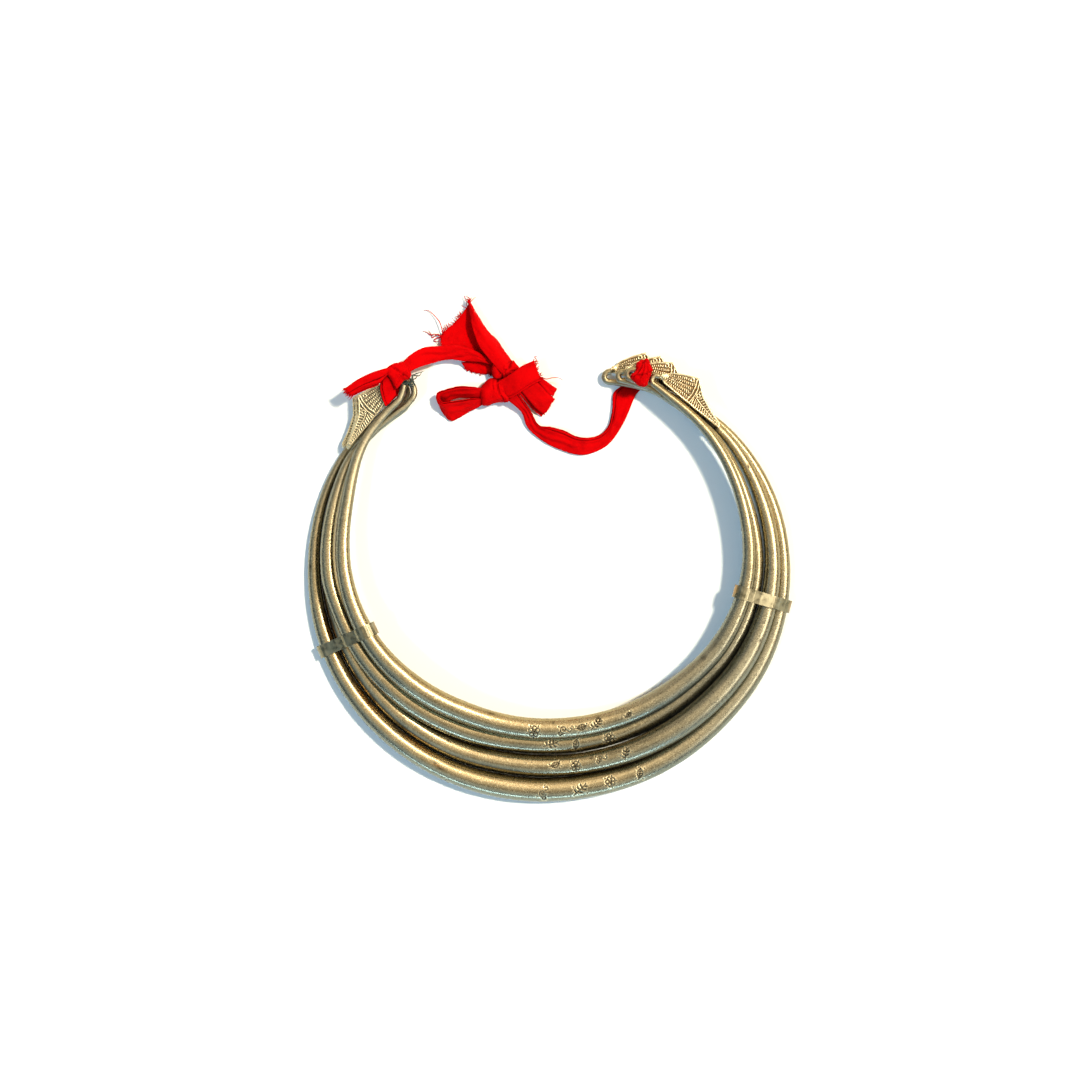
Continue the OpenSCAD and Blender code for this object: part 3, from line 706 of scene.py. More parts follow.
    def engrave(self, bearing: np.ndarray, inward: np.ndarray) -> np.ndarray:
        """Distance from the nearest stroke of the cut figures, in millimetres, and FAR away from them.

        Args:
            bearing: bearing of each point.
            inward: how far each point lies inwards of the tube's crest, in millimetres.

        Returns:
            The distance at each point.
        """
        nearest = np.full(bearing.shape, FAR)
        for cut in self.engravings:
            reach = hermite(self.tube, np.array([cut.bearing]))[0, 0]
            x = np.radians(bearing - cut.bearing) * reach
            y = inward - cut.shift
            near = np.maximum(np.abs(x), np.abs(y)) < 4.4 * cut.size
            angle = np.radians(cut.turn)
            u = (x[near] * np.cos(angle) + y[near] * np.sin(angle)) / cut.size
            v = (y[near] * np.cos(angle) - x[near] * np.sin(angle)) / cut.size
            away = np.min([line_distance(u, v, line) for line in cut.motif.strokes()], axis=0) * cut.size
            nearest[near] = np.minimum(nearest[near], away)
        return nearest

    def leaf_relief(self, place: np.ndarray, across: np.ndarray, width: np.ndarray) -> np.ndarray:
        """Height of the stamped ornament on a leaf, from 0 in its ground to 1 on its ribs.

        A smooth border follows the outline. Inside it lie rows of slanting ribs, parted by fine lines,
        with two curved lines and ring dots at the widest part and a veined leaf towards the tip.

        Args:
            place: distance from the eye.
            across: distance from the straight edge.
            width: width of the leaf there.

        Returns:
            The height at each point.
        """
        outer, part = width - across, self.ribbed_length
        border = np.maximum(1 - smooth(across, 0.5, 0.7), 1 - smooth(outer, 0.65, 0.85))
        hatch = (1 - smooth(outer, 1.0, 1.1)) * smooth(outer, 0.25, 0.35) * (place < part)
        border = border - 0.5 * hatch * (np.sin(2 * np.pi * (place + 0.8 * outer) / self.hatch_mm) > 0.1)
        lines = np.max([1 - smooth(line_distance(place, across, np.array(line)), 0.16, 0.3) for line in (
            ((part, 8.9), (12.3, 6.6), (12.9, 4.2), (13.0, 0.8)),
            ((12.6, 8.3), (13.7, 6.2), (14.2, 3.9), (14.2, 0.8)),
        )], axis=0)
        first = place < part + (8.9 - across) * 0.22
        share = np.clip((across - 0.9) / np.maximum(width - 1.9, 0.5), 0, 0.999) * self.rib_rows
        row = np.floor(share)
        in_row = np.abs(share - row - 0.5)
        slant = place + 0.5 * across + row * 0.37
        ribs = (1 - smooth(in_row, 0.3, 0.42)) * smooth(np.cos(2 * np.pi * slant / self.rib_mm), -0.15, 0.35)
        fence = smooth(in_row, 0.46, 0.5) * 0.4
        beside = np.abs(across / np.maximum(width, 0.5) - 0.52)
        vein = 1 - smooth(beside * width, 0.12, 0.28)
        leafy = (place - self.veined_from - 2.2 * beside) / self.vein_mm
        stroke = smooth(np.cos(2 * np.pi * leafy), -0.1, 0.4) * smooth(beside, 0.05, 0.1)
        field = np.where(first, np.maximum(ribs, fence), np.where(place > 14.6, np.maximum(vein, stroke), 0))
        for dot_place, dot_across in self.dots:
            away = np.hypot(place - dot_place, across - dot_across)
            ring = 1 - smooth(np.abs(away - self.dot_radius), 0.14, 0.3)
            field = np.where(away < 1.0, ring, field)
        return np.clip(np.maximum(np.maximum(border, lines), field), 0, 1)

    def blots(self, bearing: np.ndarray, inward: np.ndarray, rust: bool) -> np.ndarray:
        """Strength of the tube's stains, or of its rust, from 0 to 1.

        Each mark fades from its middle as exp(-2.5 d d), with d in its own lengths and widths.

        Args:
            bearing: bearing of each point.
            inward: how far each point lies inwards of the tube's crest.
            rust: whether rust is wanted in place of stains.

        Returns:
            The strongest mark at each point.
        """
        strength = np.zeros(bearing.shape)
        for mark in self.marks:
            if mark.rust is rust:
                reach = hermite(self.tube, np.array([mark.bearing]))[0, 0]
                x = np.radians(bearing - mark.bearing) * reach / mark.length
                y = (inward - mark.shift) / mark.width
                strength = np.maximum(strength, mark.strength * np.exp(-2.5 * (x ** 2 + y ** 2)))
        return strength

    def wear_and_light(
        self, bearing: np.ndarray, angle: np.ndarray, facing: np.ndarray, plate: np.ndarray, relief: np.ndarray,
    ) -> dict[str, np.ndarray]:
        """Where the silver is painted bright, golden and dull.

        A tube's crest is rubbed lighter, less so on the right and where it faces away from the window, which is
        painted light. Its side that faces the window is painted golden as warm light, and the other grey green.

        Args:
            bearing: bearing of each point.
            angle: angle of each point round the tube, from its inner side over its top.
            facing: how far each point faces the window, from -1 to 1.
            plate: which points lie on a leaf.
            relief: height of the leaf's relief on its top, and 0 elsewhere.

        Returns:
            The numbers kept at the points for the finish.
        """
        right = bearing > FRONT
        ease = 1 - self.right_dulling * smooth(bearing, *self.worn_off)
        dull = 1.0
        for low, high, change in self.dull_steps:
            dull = dull + change * smooth(bearing, low, high)
        start, full, fading, end = self.grey_zone
        grey = 0.35 * smooth(bearing, start, full) * (1 - smooth(bearing, fading, end))
        grey = grey + 0.25 * dull * (bearing < FRONT)
        # Painted light: the rubbed crest is painted lighter where it faces the window.
        window_lit = 0.4 + 0.6 * smooth(facing, -0.55, 0.0)
        rubbed = (1.6 * np.sin(angle) - 0.65) * ease * (1 - 0.4 * dull) * window_lit
        return {
            # Leaves: the right ones are painted lighter and more golden than the left, standing in for their
            # highlight.
            "rubbed_lit_crest": np.clip(np.where(plate, np.where(right, 0.75, 0.45) + 0.25 * relief, rubbed), 0, 1),
            "window_gold": np.clip(np.where(plate, 0.3 + 0.55 * right, 0.5 + 0.65 * facing - grey), 0, 1),
            "dull": np.where(plate, 0.4, dull),
        }

    def surface(self) -> tuple[np.ndarray, dict[str, np.ndarray]]:
        """The ring's skin as sections of equal point counts.

        A tube's section is a circle of points (r cos a, r sin a), closer together above than below. A
        leaf's section is a flat plate with rounded edges and its relief on top. The two blend over the
        first millimetres of the leaf.

        Returns:
            The points, section by section, and the numbers kept at them.
        """
        line = self.stations()
        top = np.linspace(0, 1, self.top_steps + 1)
        under = np.linspace(0, 1, self.under_steps + 1)[1:-1]
        angle = np.pi * np.concatenate([top, 1 + under])
        above = np.concatenate([np.ones(len(top)), -np.ones(len(under))])
        across = np.concatenate([0.5 - top, -0.5 + under]) * line.width[:, None]
        place, width, bearing = (
            np.broadcast_to(row[:, None], across.shape) for row in (line.leaf_place, line.width, line.bearing)
        )
        plate = place > 0
        leaf_top, tube_top = plate & (above > 0), ~plate & (above > 0)
        blend = np.where(plate, np.clip(place / self.flatten_length, 0, 1), 0.0)
        radius = np.where(plate, np.minimum(width, np.maximum(width * (1 - blend), ROD)), width) / 2
        # Flat section: rounded at both edges and at the tip.
        tip = np.where(plate, np.sqrt(np.clip((LEAF_LENGTH + 0.02 - place) / self.tip_length, 0, 1)), 1)
        inset = np.clip((width / 2 - np.abs(across)) / self.edge_radius, 0, 1)
        rounding = np.sqrt(np.clip(1 - (1 - inset) ** 2, 0, 1)) * tip
        relief = self.leaf_relief(place, across + width / 2, width)
        ground = leaf_top * (1 - relief) * smooth(place, 1.5, 3.0) * smooth(width, 1.0, 2.2)
        flat_up = above * rounding * LEAF_WALL / 2 - self.relief_depth * ground
        # Round section: uneven from the hammer, with cut figures, their raised lips and dents.
        run = path_run(line.centre)[:, None]
        inward = radius * np.cos(angle)
        away = np.where(tube_top, self.engrave(bearing, inward), FAR)
        cut, lip = 1 - smooth(away, *self.cut_reach), np.exp(-((away - self.lip_reach) / self.lip_width) ** 2)
        stain, rust = (tube_top * self.blots(bearing, inward, kind) for kind in (False, True))
        along, around = self.swell_mm
        uneven = ripple(run / along, angle * radius / around, self.seed) * self.swell * width
        along, around = self.hammer_mm
        uneven += ripple(run / along, angle * radius / around, self.seed + 50) * self.hammer
        round_radius = radius + ~plate * uneven
        round_radius += self.lip_height * lip - self.groove_depth * cut - self.dent_depth * stain
        side_shift = (1 - blend) * round_radius * np.cos(angle) + blend * across
        heading = np.radians(line.heading)[:, None]
        x = line.centre[:, :1] - np.sin(heading) * side_shift
        y = line.centre[:, 1:2] + np.cos(heading) * side_shift
        z = line.centre[:, 2:] + (1 - blend) * round_radius * np.sin(angle) + blend * flat_up
        # Painted shade in the slot under the inner ring's right leaf.
        slot = 1 - smooth(line_distance(x, y, np.asarray(SLOT_SHADE_LINE)), *SLOT_SHADE_HALF)
        # How far each point faces the window, whose warm light is painted as the golden side.
        facing = (self.window[1] * np.cos(heading) - self.window[0] * np.sin(heading)) * np.cos(angle)
        right_leaf = plate & (bearing > FRONT)
        values = self.wear_and_light(bearing, angle, facing, plate, relief * (above > 0)) | {
            "groove": np.clip(cut + 0.78 * ground, 0, 1),
            # Painted highlights on the raised relief of the leaves and on the cuts' lips.
            "painted_highlight": np.where(right_leaf, 0.7, 0.6 * leaf_top) * relief ** 2 + 0.4 * lip,
            "chased": 1 - smooth(away, *self.chased_reach),
            # The stain value also carries the slot's painted shade.
            "stain": np.maximum(stain, slot * (z < SLOT_SHADE_TOP)),
            "rust": np.maximum(rust, 0.8 * right_leaf * ground),
        }
        return np.stack([x, y, z], -1), values

    def build(self, finish: bpy.types.Material) -> bpy.types.Object:
        """Makes the ring, which stands for its CAD node.

        Args:
            finish: the ring's material.

        Returns:
            The piece.
        """
        points, values = self.surface()
        rows, columns = points.shape[:2]
        ends = (np.arange(columns)[::-1], (rows - 1) * columns + np.arange(columns))
        return put_piece(
            self.node + "_silver", finish, "old_silver", points.reshape(-1, 3),
            sheet_faces(rows, columns, True), self.node, caps=ends, values=values,
        )


def unit_rows(rows: np.ndarray) -> np.ndarray:
    """Scales each vector to a length of one."""
    return rows / np.maximum(np.linalg.norm(rows, axis=-1, keepdims=True), 1e-9)


def grid_normals(grid: np.ndarray) -> np.ndarray:
    """Normals of a grid of points: the cross product of its two directions at each point."""
    return unit_rows(np.cross(np.gradient(grid, axis=0), np.gradient(grid, axis=1)))


def thick_sheet(grid: np.ndarray, wall: float) -> tuple[np.ndarray, np.ndarray]:
    """A closed skin of even thickness round a grid of points: half the wall to each side of it.

    Args:
        grid: points, section by section, from edge to edge.
        wall: thickness in millimetres.

    Returns:
        The points, and the four-cornered faces round the sections and over both ends.
    """
    rows, columns = grid.shape[:2]
    offset = grid_normals(grid) * wall / 2
    loop = np.concatenate([grid + offset, (grid - offset)[:, ::-1]], axis=1)
    quads = sheet_faces(rows, 2 * columns, True)[:, ::-1]
    k = np.arange(columns - 1)
    rung = np.stack([k, k + 1, 2 * columns - 2 - k, 2 * columns - 1 - k], -1)
    return loop.reshape(-1, 3), np.concatenate([quads, rung, (rung + (rows - 1) * 2 * columns)[:, ::-1]])


def sheet_uv(grid: np.ndarray) -> np.ndarray:
    """Places on the flat cloth in millimetres: run along the middle column and along the middle row."""
    rows, columns = grid.shape[:2]
    down, over = path_run(grid[:, columns // 2]), path_run(grid[rows // 2])
    flat = np.stack(np.meshgrid(down, over, indexing="ij"), -1)
    return np.concatenate([flat, flat[:, ::-1]], axis=1).reshape(-1, 2)


class Folding(Enum):
    """How a torn strip is folded lengthwise: its profile from one torn edge to the other.

    The first number is the place across, from -1 to 1, and the second the height in half thicknesses.
    """

    THREE_LAYERS = (
        (-0.9, -1.0), (0.0, -1.05), (0.85, -0.9), (1.0, -0.4), (0.82, 0.0), (0.0, -0.1), (-0.8, -0.05),
        (-1.0, 0.4), (-0.82, 0.9), (0.0, 1.0), (0.45, 0.92), (0.7, 0.7),
    )
    TWO_LAYERS = (
        (-0.95, -0.7), (0.0, -0.75), (0.85, -0.7), (1.0, 0.0), (0.85, 0.7), (0.0, 0.75), (-0.55, 0.7),
        (-0.93, 0.5),
    )
    OPEN_ROLL = (
        (-0.98, -0.9), (-0.3, -1.1), (0.6, -1.1), (1.0, -0.3), (0.85, 0.7), (0.3, 1.1), (-0.35, 1.0),
        (-0.6, 0.45), (-0.35, 0.1),
    )
    OPEN_TURNED = (
        (0.98, -0.9), (0.3, -1.1), (-0.6, -1.1), (-1.0, -0.3), (-0.85, 0.7), (-0.3, 1.1), (0.35, 1.0),
        (0.6, 0.45), (0.35, 0.1),
    )

    def at(self, share: np.ndarray) -> np.ndarray:
        """The profile's points at shares of its run, from 0 to 1."""
        step = np.linspace(0, len(self.value) - 1, 200)
        dense = hermite(numbered(self.value), step)
        # Heights count 0.3 of widths, as a folded strip is much wider than thick.
        run = path_run(dense * [1, 0.3])
        run /= run[-1]
        return np.stack([np.interp(share, run, dense[:, 0]), np.interp(share, run, dense[:, 1])], -1)


@dataclass(frozen=True)
class Fray:
    """Threads that stick out of a torn edge: how many, how long, and how they spread, rise and curl."""

    count: int
    length: tuple[float, float]
    spread: float = 0.6
    lift: float = 0.1
    rise: float = 0.12
    curl: float = 0.35
    root: float = 0.4


def put_threads(name: str, paths: np.ndarray, radius: float, finish: bpy.types.Material) -> bpy.types.Object:
    """Makes one piece of many thin threads: a ring of points round each path point, thinner at the tip.

    Args:
        name: the piece's name.
        paths: one path for each thread, with the same number of points.
        radius: radius in millimetres.
        finish: the threads' material.

    Returns:
        The piece.
    """
    count, steps = paths.shape[:2]
    ahead = unit_rows(np.gradient(paths, axis=1))
    # A direction that no thread follows gives each thread its sides.
    side = unit_rows(np.cross(ahead, [0.13, 0.21, 0.97]))
    over = np.cross(side, ahead)
    angle = np.linspace(0, 2 * np.pi, THREAD_SIDES, endpoint=False)
    thin = radius * (1 - 0.75 * np.linspace(0, 1, steps) ** 3)[None, :, None, None]
    ring = side[:, :, None] * np.cos(angle)[:, None] + over[:, :, None] * np.sin(angle)[:, None]
    points = (paths[:, :, None] + thin * ring).reshape(-1, 3)
    first = np.arange(count)[:, None] * steps * THREAD_SIDES
    faces = sheet_faces(steps, THREAD_SIDES, True)[:, ::-1]
    start, end = first + np.arange(THREAD_SIDES), first + steps * THREAD_SIDES - 1 - np.arange(THREAD_SIDES)
    run = np.repeat(np.tile(np.arange(steps) * 0.3, count), THREAD_SIDES)
    return put_piece(
        name, finish, "red_cloth", points, (faces[None] + first[..., None]).reshape(-1, 4),
        caps=(*start, *end), uv=np.stack([run, np.full_like(run, 0.2)], -1),
    )


def fray_paths(starts: np.ndarray, away: np.ndarray, fray: Fray, seed: int, steps: int = 9) -> np.ndarray:
    """Paths of the loose threads of a torn edge: each leaves the edge, spreads sideways and curls.

    Args:
        starts: points along the edge.
        away: directions out of the cloth at those points.
        fray: how many threads and how long.
        seed: which threads are drawn.
        steps: points in a path.

    Returns:
        One path for each thread.
    """
    draw = np.random.default_rng(seed)
    pick = draw.integers(0, len(starts), fray.count)
    along = unit_rows(np.gradient(starts, axis=0))[pick]
    out = unit_rows(away[pick] + along * draw.normal(0, fray.spread, (fray.count, 1)))
    low, high = fray.length
    length = (low + (high - low) * draw.random(fray.count) ** 2)[:, None, None]
    t = np.linspace(0, 1, steps)[None, :, None]
    turn = draw.normal(0, 1, (2, fray.count, 1, 1))
    side = np.cross(out, [0, 0, 1.0])[:, None]
    lift = np.array([0, 0, 1.0]) * (fray.lift + fray.rise * turn[1] * t) * t
    curl = side * turn[0] * fray.curl * t ** 2 + lift
    return starts[pick][:, None] - out[:, None] * fray.root + length * (out[:, None] * t + curl)


@dataclass
class ClothPiece:
    """A stretch of the torn cotton tie that stands for one CAD node."""

    node: str
    flat: tuple[float, float]
    held: str
    rests_on: tuple[str, ...]
    seed: int
    wall: float = 0.32
    area: float | None = None
    # A real frayed thread is about 0.2 mm thick. It is drawn half as thick again, so that it shows.
    fray_radius: float = 0.16

    def skin(self) -> dict[str, np.ndarray | tuple[np.ndarray, ...]]:
        """The points, faces, end faces and flat places of the cloth, as put_mesh names them."""
        raise NotImplementedError

    def fray_threads(self) -> np.ndarray | None:
        """Paths of the loose threads at the torn edges, or None."""
        return None

    def build(self, finish: bpy.types.Material) -> bpy.types.Object:
        """Makes the cloth and its loose threads.

        Args:
            finish: the cotton.

        Returns:
            The piece.
        """
        obj = put_piece(self.node + "_cloth", finish, "red_cloth", stands_for=self.node, **self.skin())
        paths = self.fray_threads()
        if paths is not None:
            put_threads(self.node + "_threads", paths, self.fray_radius, finish)
        return obj


@dataclass
class FoldedStrip(ClothPiece):
    """A torn strip folded lengthwise, along a table of sections from edge to edge."""

    rows: tuple[tuple[float, ...], ...] = ()
    folding: Folding = Folding.THREE_LAYERS
    reach: tuple[float, float] = (0.0, 0.0)
    thick: tuple[float, float] = (0.5, 1.1)
    pull: float = 0.3
    hem: float | None = None
    hem_depth: float = 0.4
    step: float = 0.45
    across_steps: int = 66
    ragged: float = 0.01
    fray: Fray | None = None
    # Creases: turns across the width, and how far along they wander and fade. Then buckles and fine grit.
    crease_turns: float = 7.5
    wander_mm: float = 14.0
    fade_mm: float = 9.0
    buckle_mm: float = 3.2
    buckle: float = 0.22
    grit_mm: float = 1.1
    grit: float = 0.05
    hem_width: float = 0.06

    def place(self, at: np.ndarray, share: np.ndarray) -> np.ndarray:
        """Points of the strip's middle layer.

        Each section's profile is laid between its two edge points, and its height along the sheet's
        normal. Creases run lengthwise: sines across the width whose phase wanders along the strip.

        Args:
            at: place along the table, in rows, for each point.
            share: place along the profile, from 0 to 1, for each point.

        Returns:
            The points.
        """
        table, flat_at = numbered(self.rows), at.reshape(-1)
        row = hermite(table, flat_at).reshape(*at.shape, 7)
        ahead = hermite(table, flat_at + 0.05) - hermite(table, flat_at - 0.05)
        ahead = (ahead[:, :3] + ahead[:, 3:6]).reshape(*at.shape, 3)
        a, b, loose = row[..., :3], row[..., 3:6], np.clip(row[..., 6:], 0, 1)
        up = unit_rows(np.cross(b - a, ahead))
        up = up * np.sign(np.median(up[..., 2]) or 1)
        u, v = np.split(self.folding.at(share), 2, axis=-1)
        bulk = self.thick[0] + (self.thick[1] - self.thick[0]) * loose
        run = at[..., None] * ROW_SPACING
        wander = ripple(run / self.wander_mm, np.zeros_like(u), self.seed) * 3.0
        crease = np.sin(self.crease_turns * u + wander + 2.1 * np.sign(v))
        crease = crease * (0.5 + 0.5 * ripple(run / self.fade_mm, u, self.seed + 1))
        buckle = ripple(run / self.buckle_mm, u * 1.1, self.seed + 2) * (1 - u * u)
        lift = v * bulk + loose * (self.pull * crease + self.buckle * buckle)
        if self.hem is not None:
            lift = lift - self.hem_depth * (v > 0) * np.exp(-((u - self.hem) / self.hem_width) ** 2)
        lift = lift + self.grit * ripple(run / self.grit_mm, u * 4, self.seed + 3)
        return (a + b) / 2 + (b - a) / 2 * u + up * lift

    def grid(self) -> np.ndarray:
        """The strip's middle layer, section by section, with ragged torn edges."""
        rows = np.asarray(self.rows, float)
        middle = (rows[:, :3] + rows[:, 3:6]) / 2
        length = np.linalg.norm(np.diff(middle, axis=0), axis=1).sum()
        count = max(int(length / self.step), 12)
        draw = np.random.default_rng(self.seed)
        at = np.linspace(self.reach[0], len(rows) - 1 + self.reach[1], count)[:, None]
        low, high = self.ragged * draw.random((2, count, 1))
        share = low + (1 - low - high) * np.linspace(0, 1, self.across_steps)
        at = np.broadcast_to(at, share.shape)
        if self.fray:
            # The far end is torn off at uneven places, thread by thread and in tufts of four.
            fine = draw.random(self.across_steps)
            coarse = draw.random(self.across_steps // 4 + 1).repeat(4)[:self.across_steps]
            at = at - smooth(at, at.max() - 0.5, at.max()) * (0.5 * fine + 0.5 * coarse) * 0.12
        return self.place(at, share)

    def skin(self) -> dict[str, np.ndarray | tuple[np.ndarray, ...]]:
        """The strip's middle layer with its thickness."""
        grid = self.grid()
        points, quads = thick_sheet(grid, self.wall)
        return {"points": points, "quads": quads, "uv": sheet_uv(grid)}

    def fray_threads(self) -> np.ndarray | None:
        """Threads that stick out of the strip's far end."""
        if not self.fray:
            return None
        grid = self.grid()
        return fray_paths(grid[-1], unit_rows(grid[-1] - grid[-3]), self.fray, self.seed + 9)


@dataclass
class TornSheet(ClothPiece):
    """A wide torn end, as a table of sections with several points across."""

    rows: tuple[tuple[float, ...], ...] = ()
    step: float = 0.4
    ragged: float = 0.02
    wrinkle: float = 0.25
    wrinkle_mm: float = 4.5
    pucker_mm: float = 1.6
    torn_reach: float = 0.35
    fray: Fray | None = None

    def grid(self) -> np.ndarray:
        """The sheet's middle layer: the table read smoothly along its rows, and then across them."""
        rows = np.asarray(self.rows, float)
        points = rows.reshape(len(rows), -1, 3)
        long = np.linalg.norm(np.diff(points.mean(1), axis=0), axis=1).sum()
        wide = np.linalg.norm(np.diff(points, axis=1), axis=2).sum(1).max()
        count, columns = int(long / self.step) + 8, int(wide / self.step) + 8
        draw = np.random.default_rng(self.seed)
        at = np.linspace(0, len(rows) - 1, count)
        along = hermite(numbered(self.rows), at).reshape(count, -1, 3)
        across = np.linspace(0, points.shape[1] - 1, columns)
        tall = numbered(along.transpose(1, 0, 2).reshape(points.shape[1], -1))
        grid = hermite(tall, across).reshape(columns, count, 3).transpose(1, 0, 2)
        # The first edge is torn: it is drawn inwards unevenly, towards the seventh column.
        edge = 1 - smooth(across, 0, self.torn_reach)[None]
        down = at[:, None]
        jag = (draw.random((count, 1)) * 0.6 + 0.4 * ripple(down * 3, down, self.seed)) * self.ragged
        inward = grid[:, 6:7] - grid[:, :1]
        grid = grid + (edge * jag)[..., None] * inward * 3
        x, y = grid[..., :1], grid[..., 1:2]
        wave = ripple(x / self.wrinkle_mm, y / self.wrinkle_mm, self.seed + 1)
        wave = wave + 0.4 * ripple(x / self.pucker_mm, y / self.pucker_mm, self.seed + 2)
        return grid + grid_normals(grid) * self.wrinkle * wave

    def skin(self) -> dict[str, np.ndarray | tuple[np.ndarray, ...]]:
        """The sheet's middle layer with its thickness, facing up."""
        grid = self.grid()
        if grid_normals(grid)[..., 2].mean() < 0:
            grid = grid[:, ::-1]
        points, quads = thick_sheet(grid, self.wall)
        return {"points": points, "quads": quads, "uv": sheet_uv(grid)}

    def fray_threads(self) -> np.ndarray | None:
        """Threads that stick out of the sheet's first edge and out of its far end."""
        if not self.fray:
            return None
        grid = self.grid()
        border, far = grid[:, 0], grid[-1]
        last = len(border) * 5 // 6
        starts = np.concatenate([border[last:], far])
        away = np.concatenate([unit_rows(grid[:, 0] - grid[:, 2])[last:], unit_rows(grid[-1] - grid[-3])])
        return fray_paths(starts, away, self.fray, self.seed + 9)


@dataclass(frozen=True)
class Crease:
    """A fold line on a knot: its points from the knot's middle, its depth and the step beside it."""

    line: tuple[tuple[float, float], ...]
    depth: float = 0.5
    step: float = 0.0
    width: float = 0.4
    step_width: float = 0.35
    step_reach: float = 2.2


@dataclass
class PulledKnot(ClothPiece):
    """A knot pulled tight: rounded layers of one outline with fold lines pressed into it."""

    middle: tuple[float, float] = (0.0, 0.0)
    outline: tuple[tuple[float, float], ...] = ()
    levels: tuple[tuple[float, float], ...] = ()
    creases: tuple[Crease, ...] = ()
    grow: float = 1.04
    around: int = 132
    rise: int = 46
    swell_mm: float = 3.0
    swell: float = 0.22
    pucker_mm: float = 0.9
    pucker: float = 0.06

    def skin(self) -> dict[str, np.ndarray | tuple[np.ndarray, ...]]:
        """The knot's skin.

        The outline is read smoothly round and scaled by the share of each level, which is read
        smoothly up. A crease moves the skin in along its line, and lifts it on the line's left side.
        """
        n = len(self.outline)
        wrapped = tuple((i, *self.outline[i % n]) for i in range(-2, n + 3))
        edge = hermite(wrapped, np.linspace(0, n, self.around, endpoint=False)) * self.grow
        up = hermite(numbered(self.levels), np.linspace(0, len(self.levels) - 1, self.rise))
        share = np.concatenate([up[:, 1], up[-1, 1] * np.array([0.66, 0.33, 0.02])])
        level = np.concatenate([up[:, 0], up[-1, 0] + np.array([0.12, 0.18, 0.2])])
        x, y = edge[:, 0] * share[:, None], edge[:, 1] * share[:, None]
        grid = np.stack([x + self.middle[0], y + self.middle[1], np.broadcast_to(level[:, None], x.shape)], -1)
        closed = np.concatenate([grid[:, -1:], grid, grid[:, :1]], axis=1)
        normal = grid_normals(closed)[:, 1:-1]
        normal *= np.sign(normal[-6:, :, 2].mean())
        push = self.swell * ripple(x / self.swell_mm, y / self.swell_mm, self.seed)
        push = push + self.pucker * ripple(x / self.pucker_mm, y / self.pucker_mm, self.seed + 1)
        top = smooth((level - level[0]) / (level[-1] - level[0]), 0.25, 0.75)[:, None]
        for crease in self.creases:
            line = np.asarray(crease.line, float)
            away = line_distance(x, y, line)
            from_middles = np.stack([x, y], -1)[..., None, :] - (line[:-1] + line[1:]) / 2
            nearest = np.argmin(np.linalg.norm(from_middles, axis=-1), -1)
            ahead, start = (line[1:] - line[:-1])[nearest], line[:-1][nearest]
            side = np.sign(ahead[..., 0] * (y - start[..., 1]) - ahead[..., 1] * (x - start[..., 0]))
            push = push - top * crease.depth * np.exp(-(away / crease.width) ** 2)
            fade = np.exp(-(away / crease.step_reach) ** 2)
            push = push + top * crease.step * np.tanh(side * away / crease.step_width) * fade
        grid = grid + normal * push[..., None]
        rows, columns = grid.shape[:2]
        return {
            "points": grid.reshape(-1, 3), "quads": sheet_faces(rows, columns, True),
            "caps": (np.arange(columns)[::-1], (rows - 1) * columns + np.arange(columns)),
            "uv": np.stack([x - 0.3 * y, y + 0.3 * x + level[:, None] * 0.7], -1).reshape(-1, 2),
        }


@dataclass
class LooseThreads:
    """Long single threads that have pulled out of the cloth, each as a few points."""

    name: str
    lines: tuple[tuple[tuple[float, float, float], ...], ...]
    radius: float

    def build(self, finish: bpy.types.Material) -> bpy.types.Object:
        """Makes the threads, each a smooth line through its points.

        Args:
            finish: the threads' material.

        Returns:
            The piece.
        """
        paths = np.stack([hermite(numbered(line), np.linspace(0, len(line) - 1, 28)) for line in self.lines])
        return put_threads(self.name, paths, self.radius, finish)


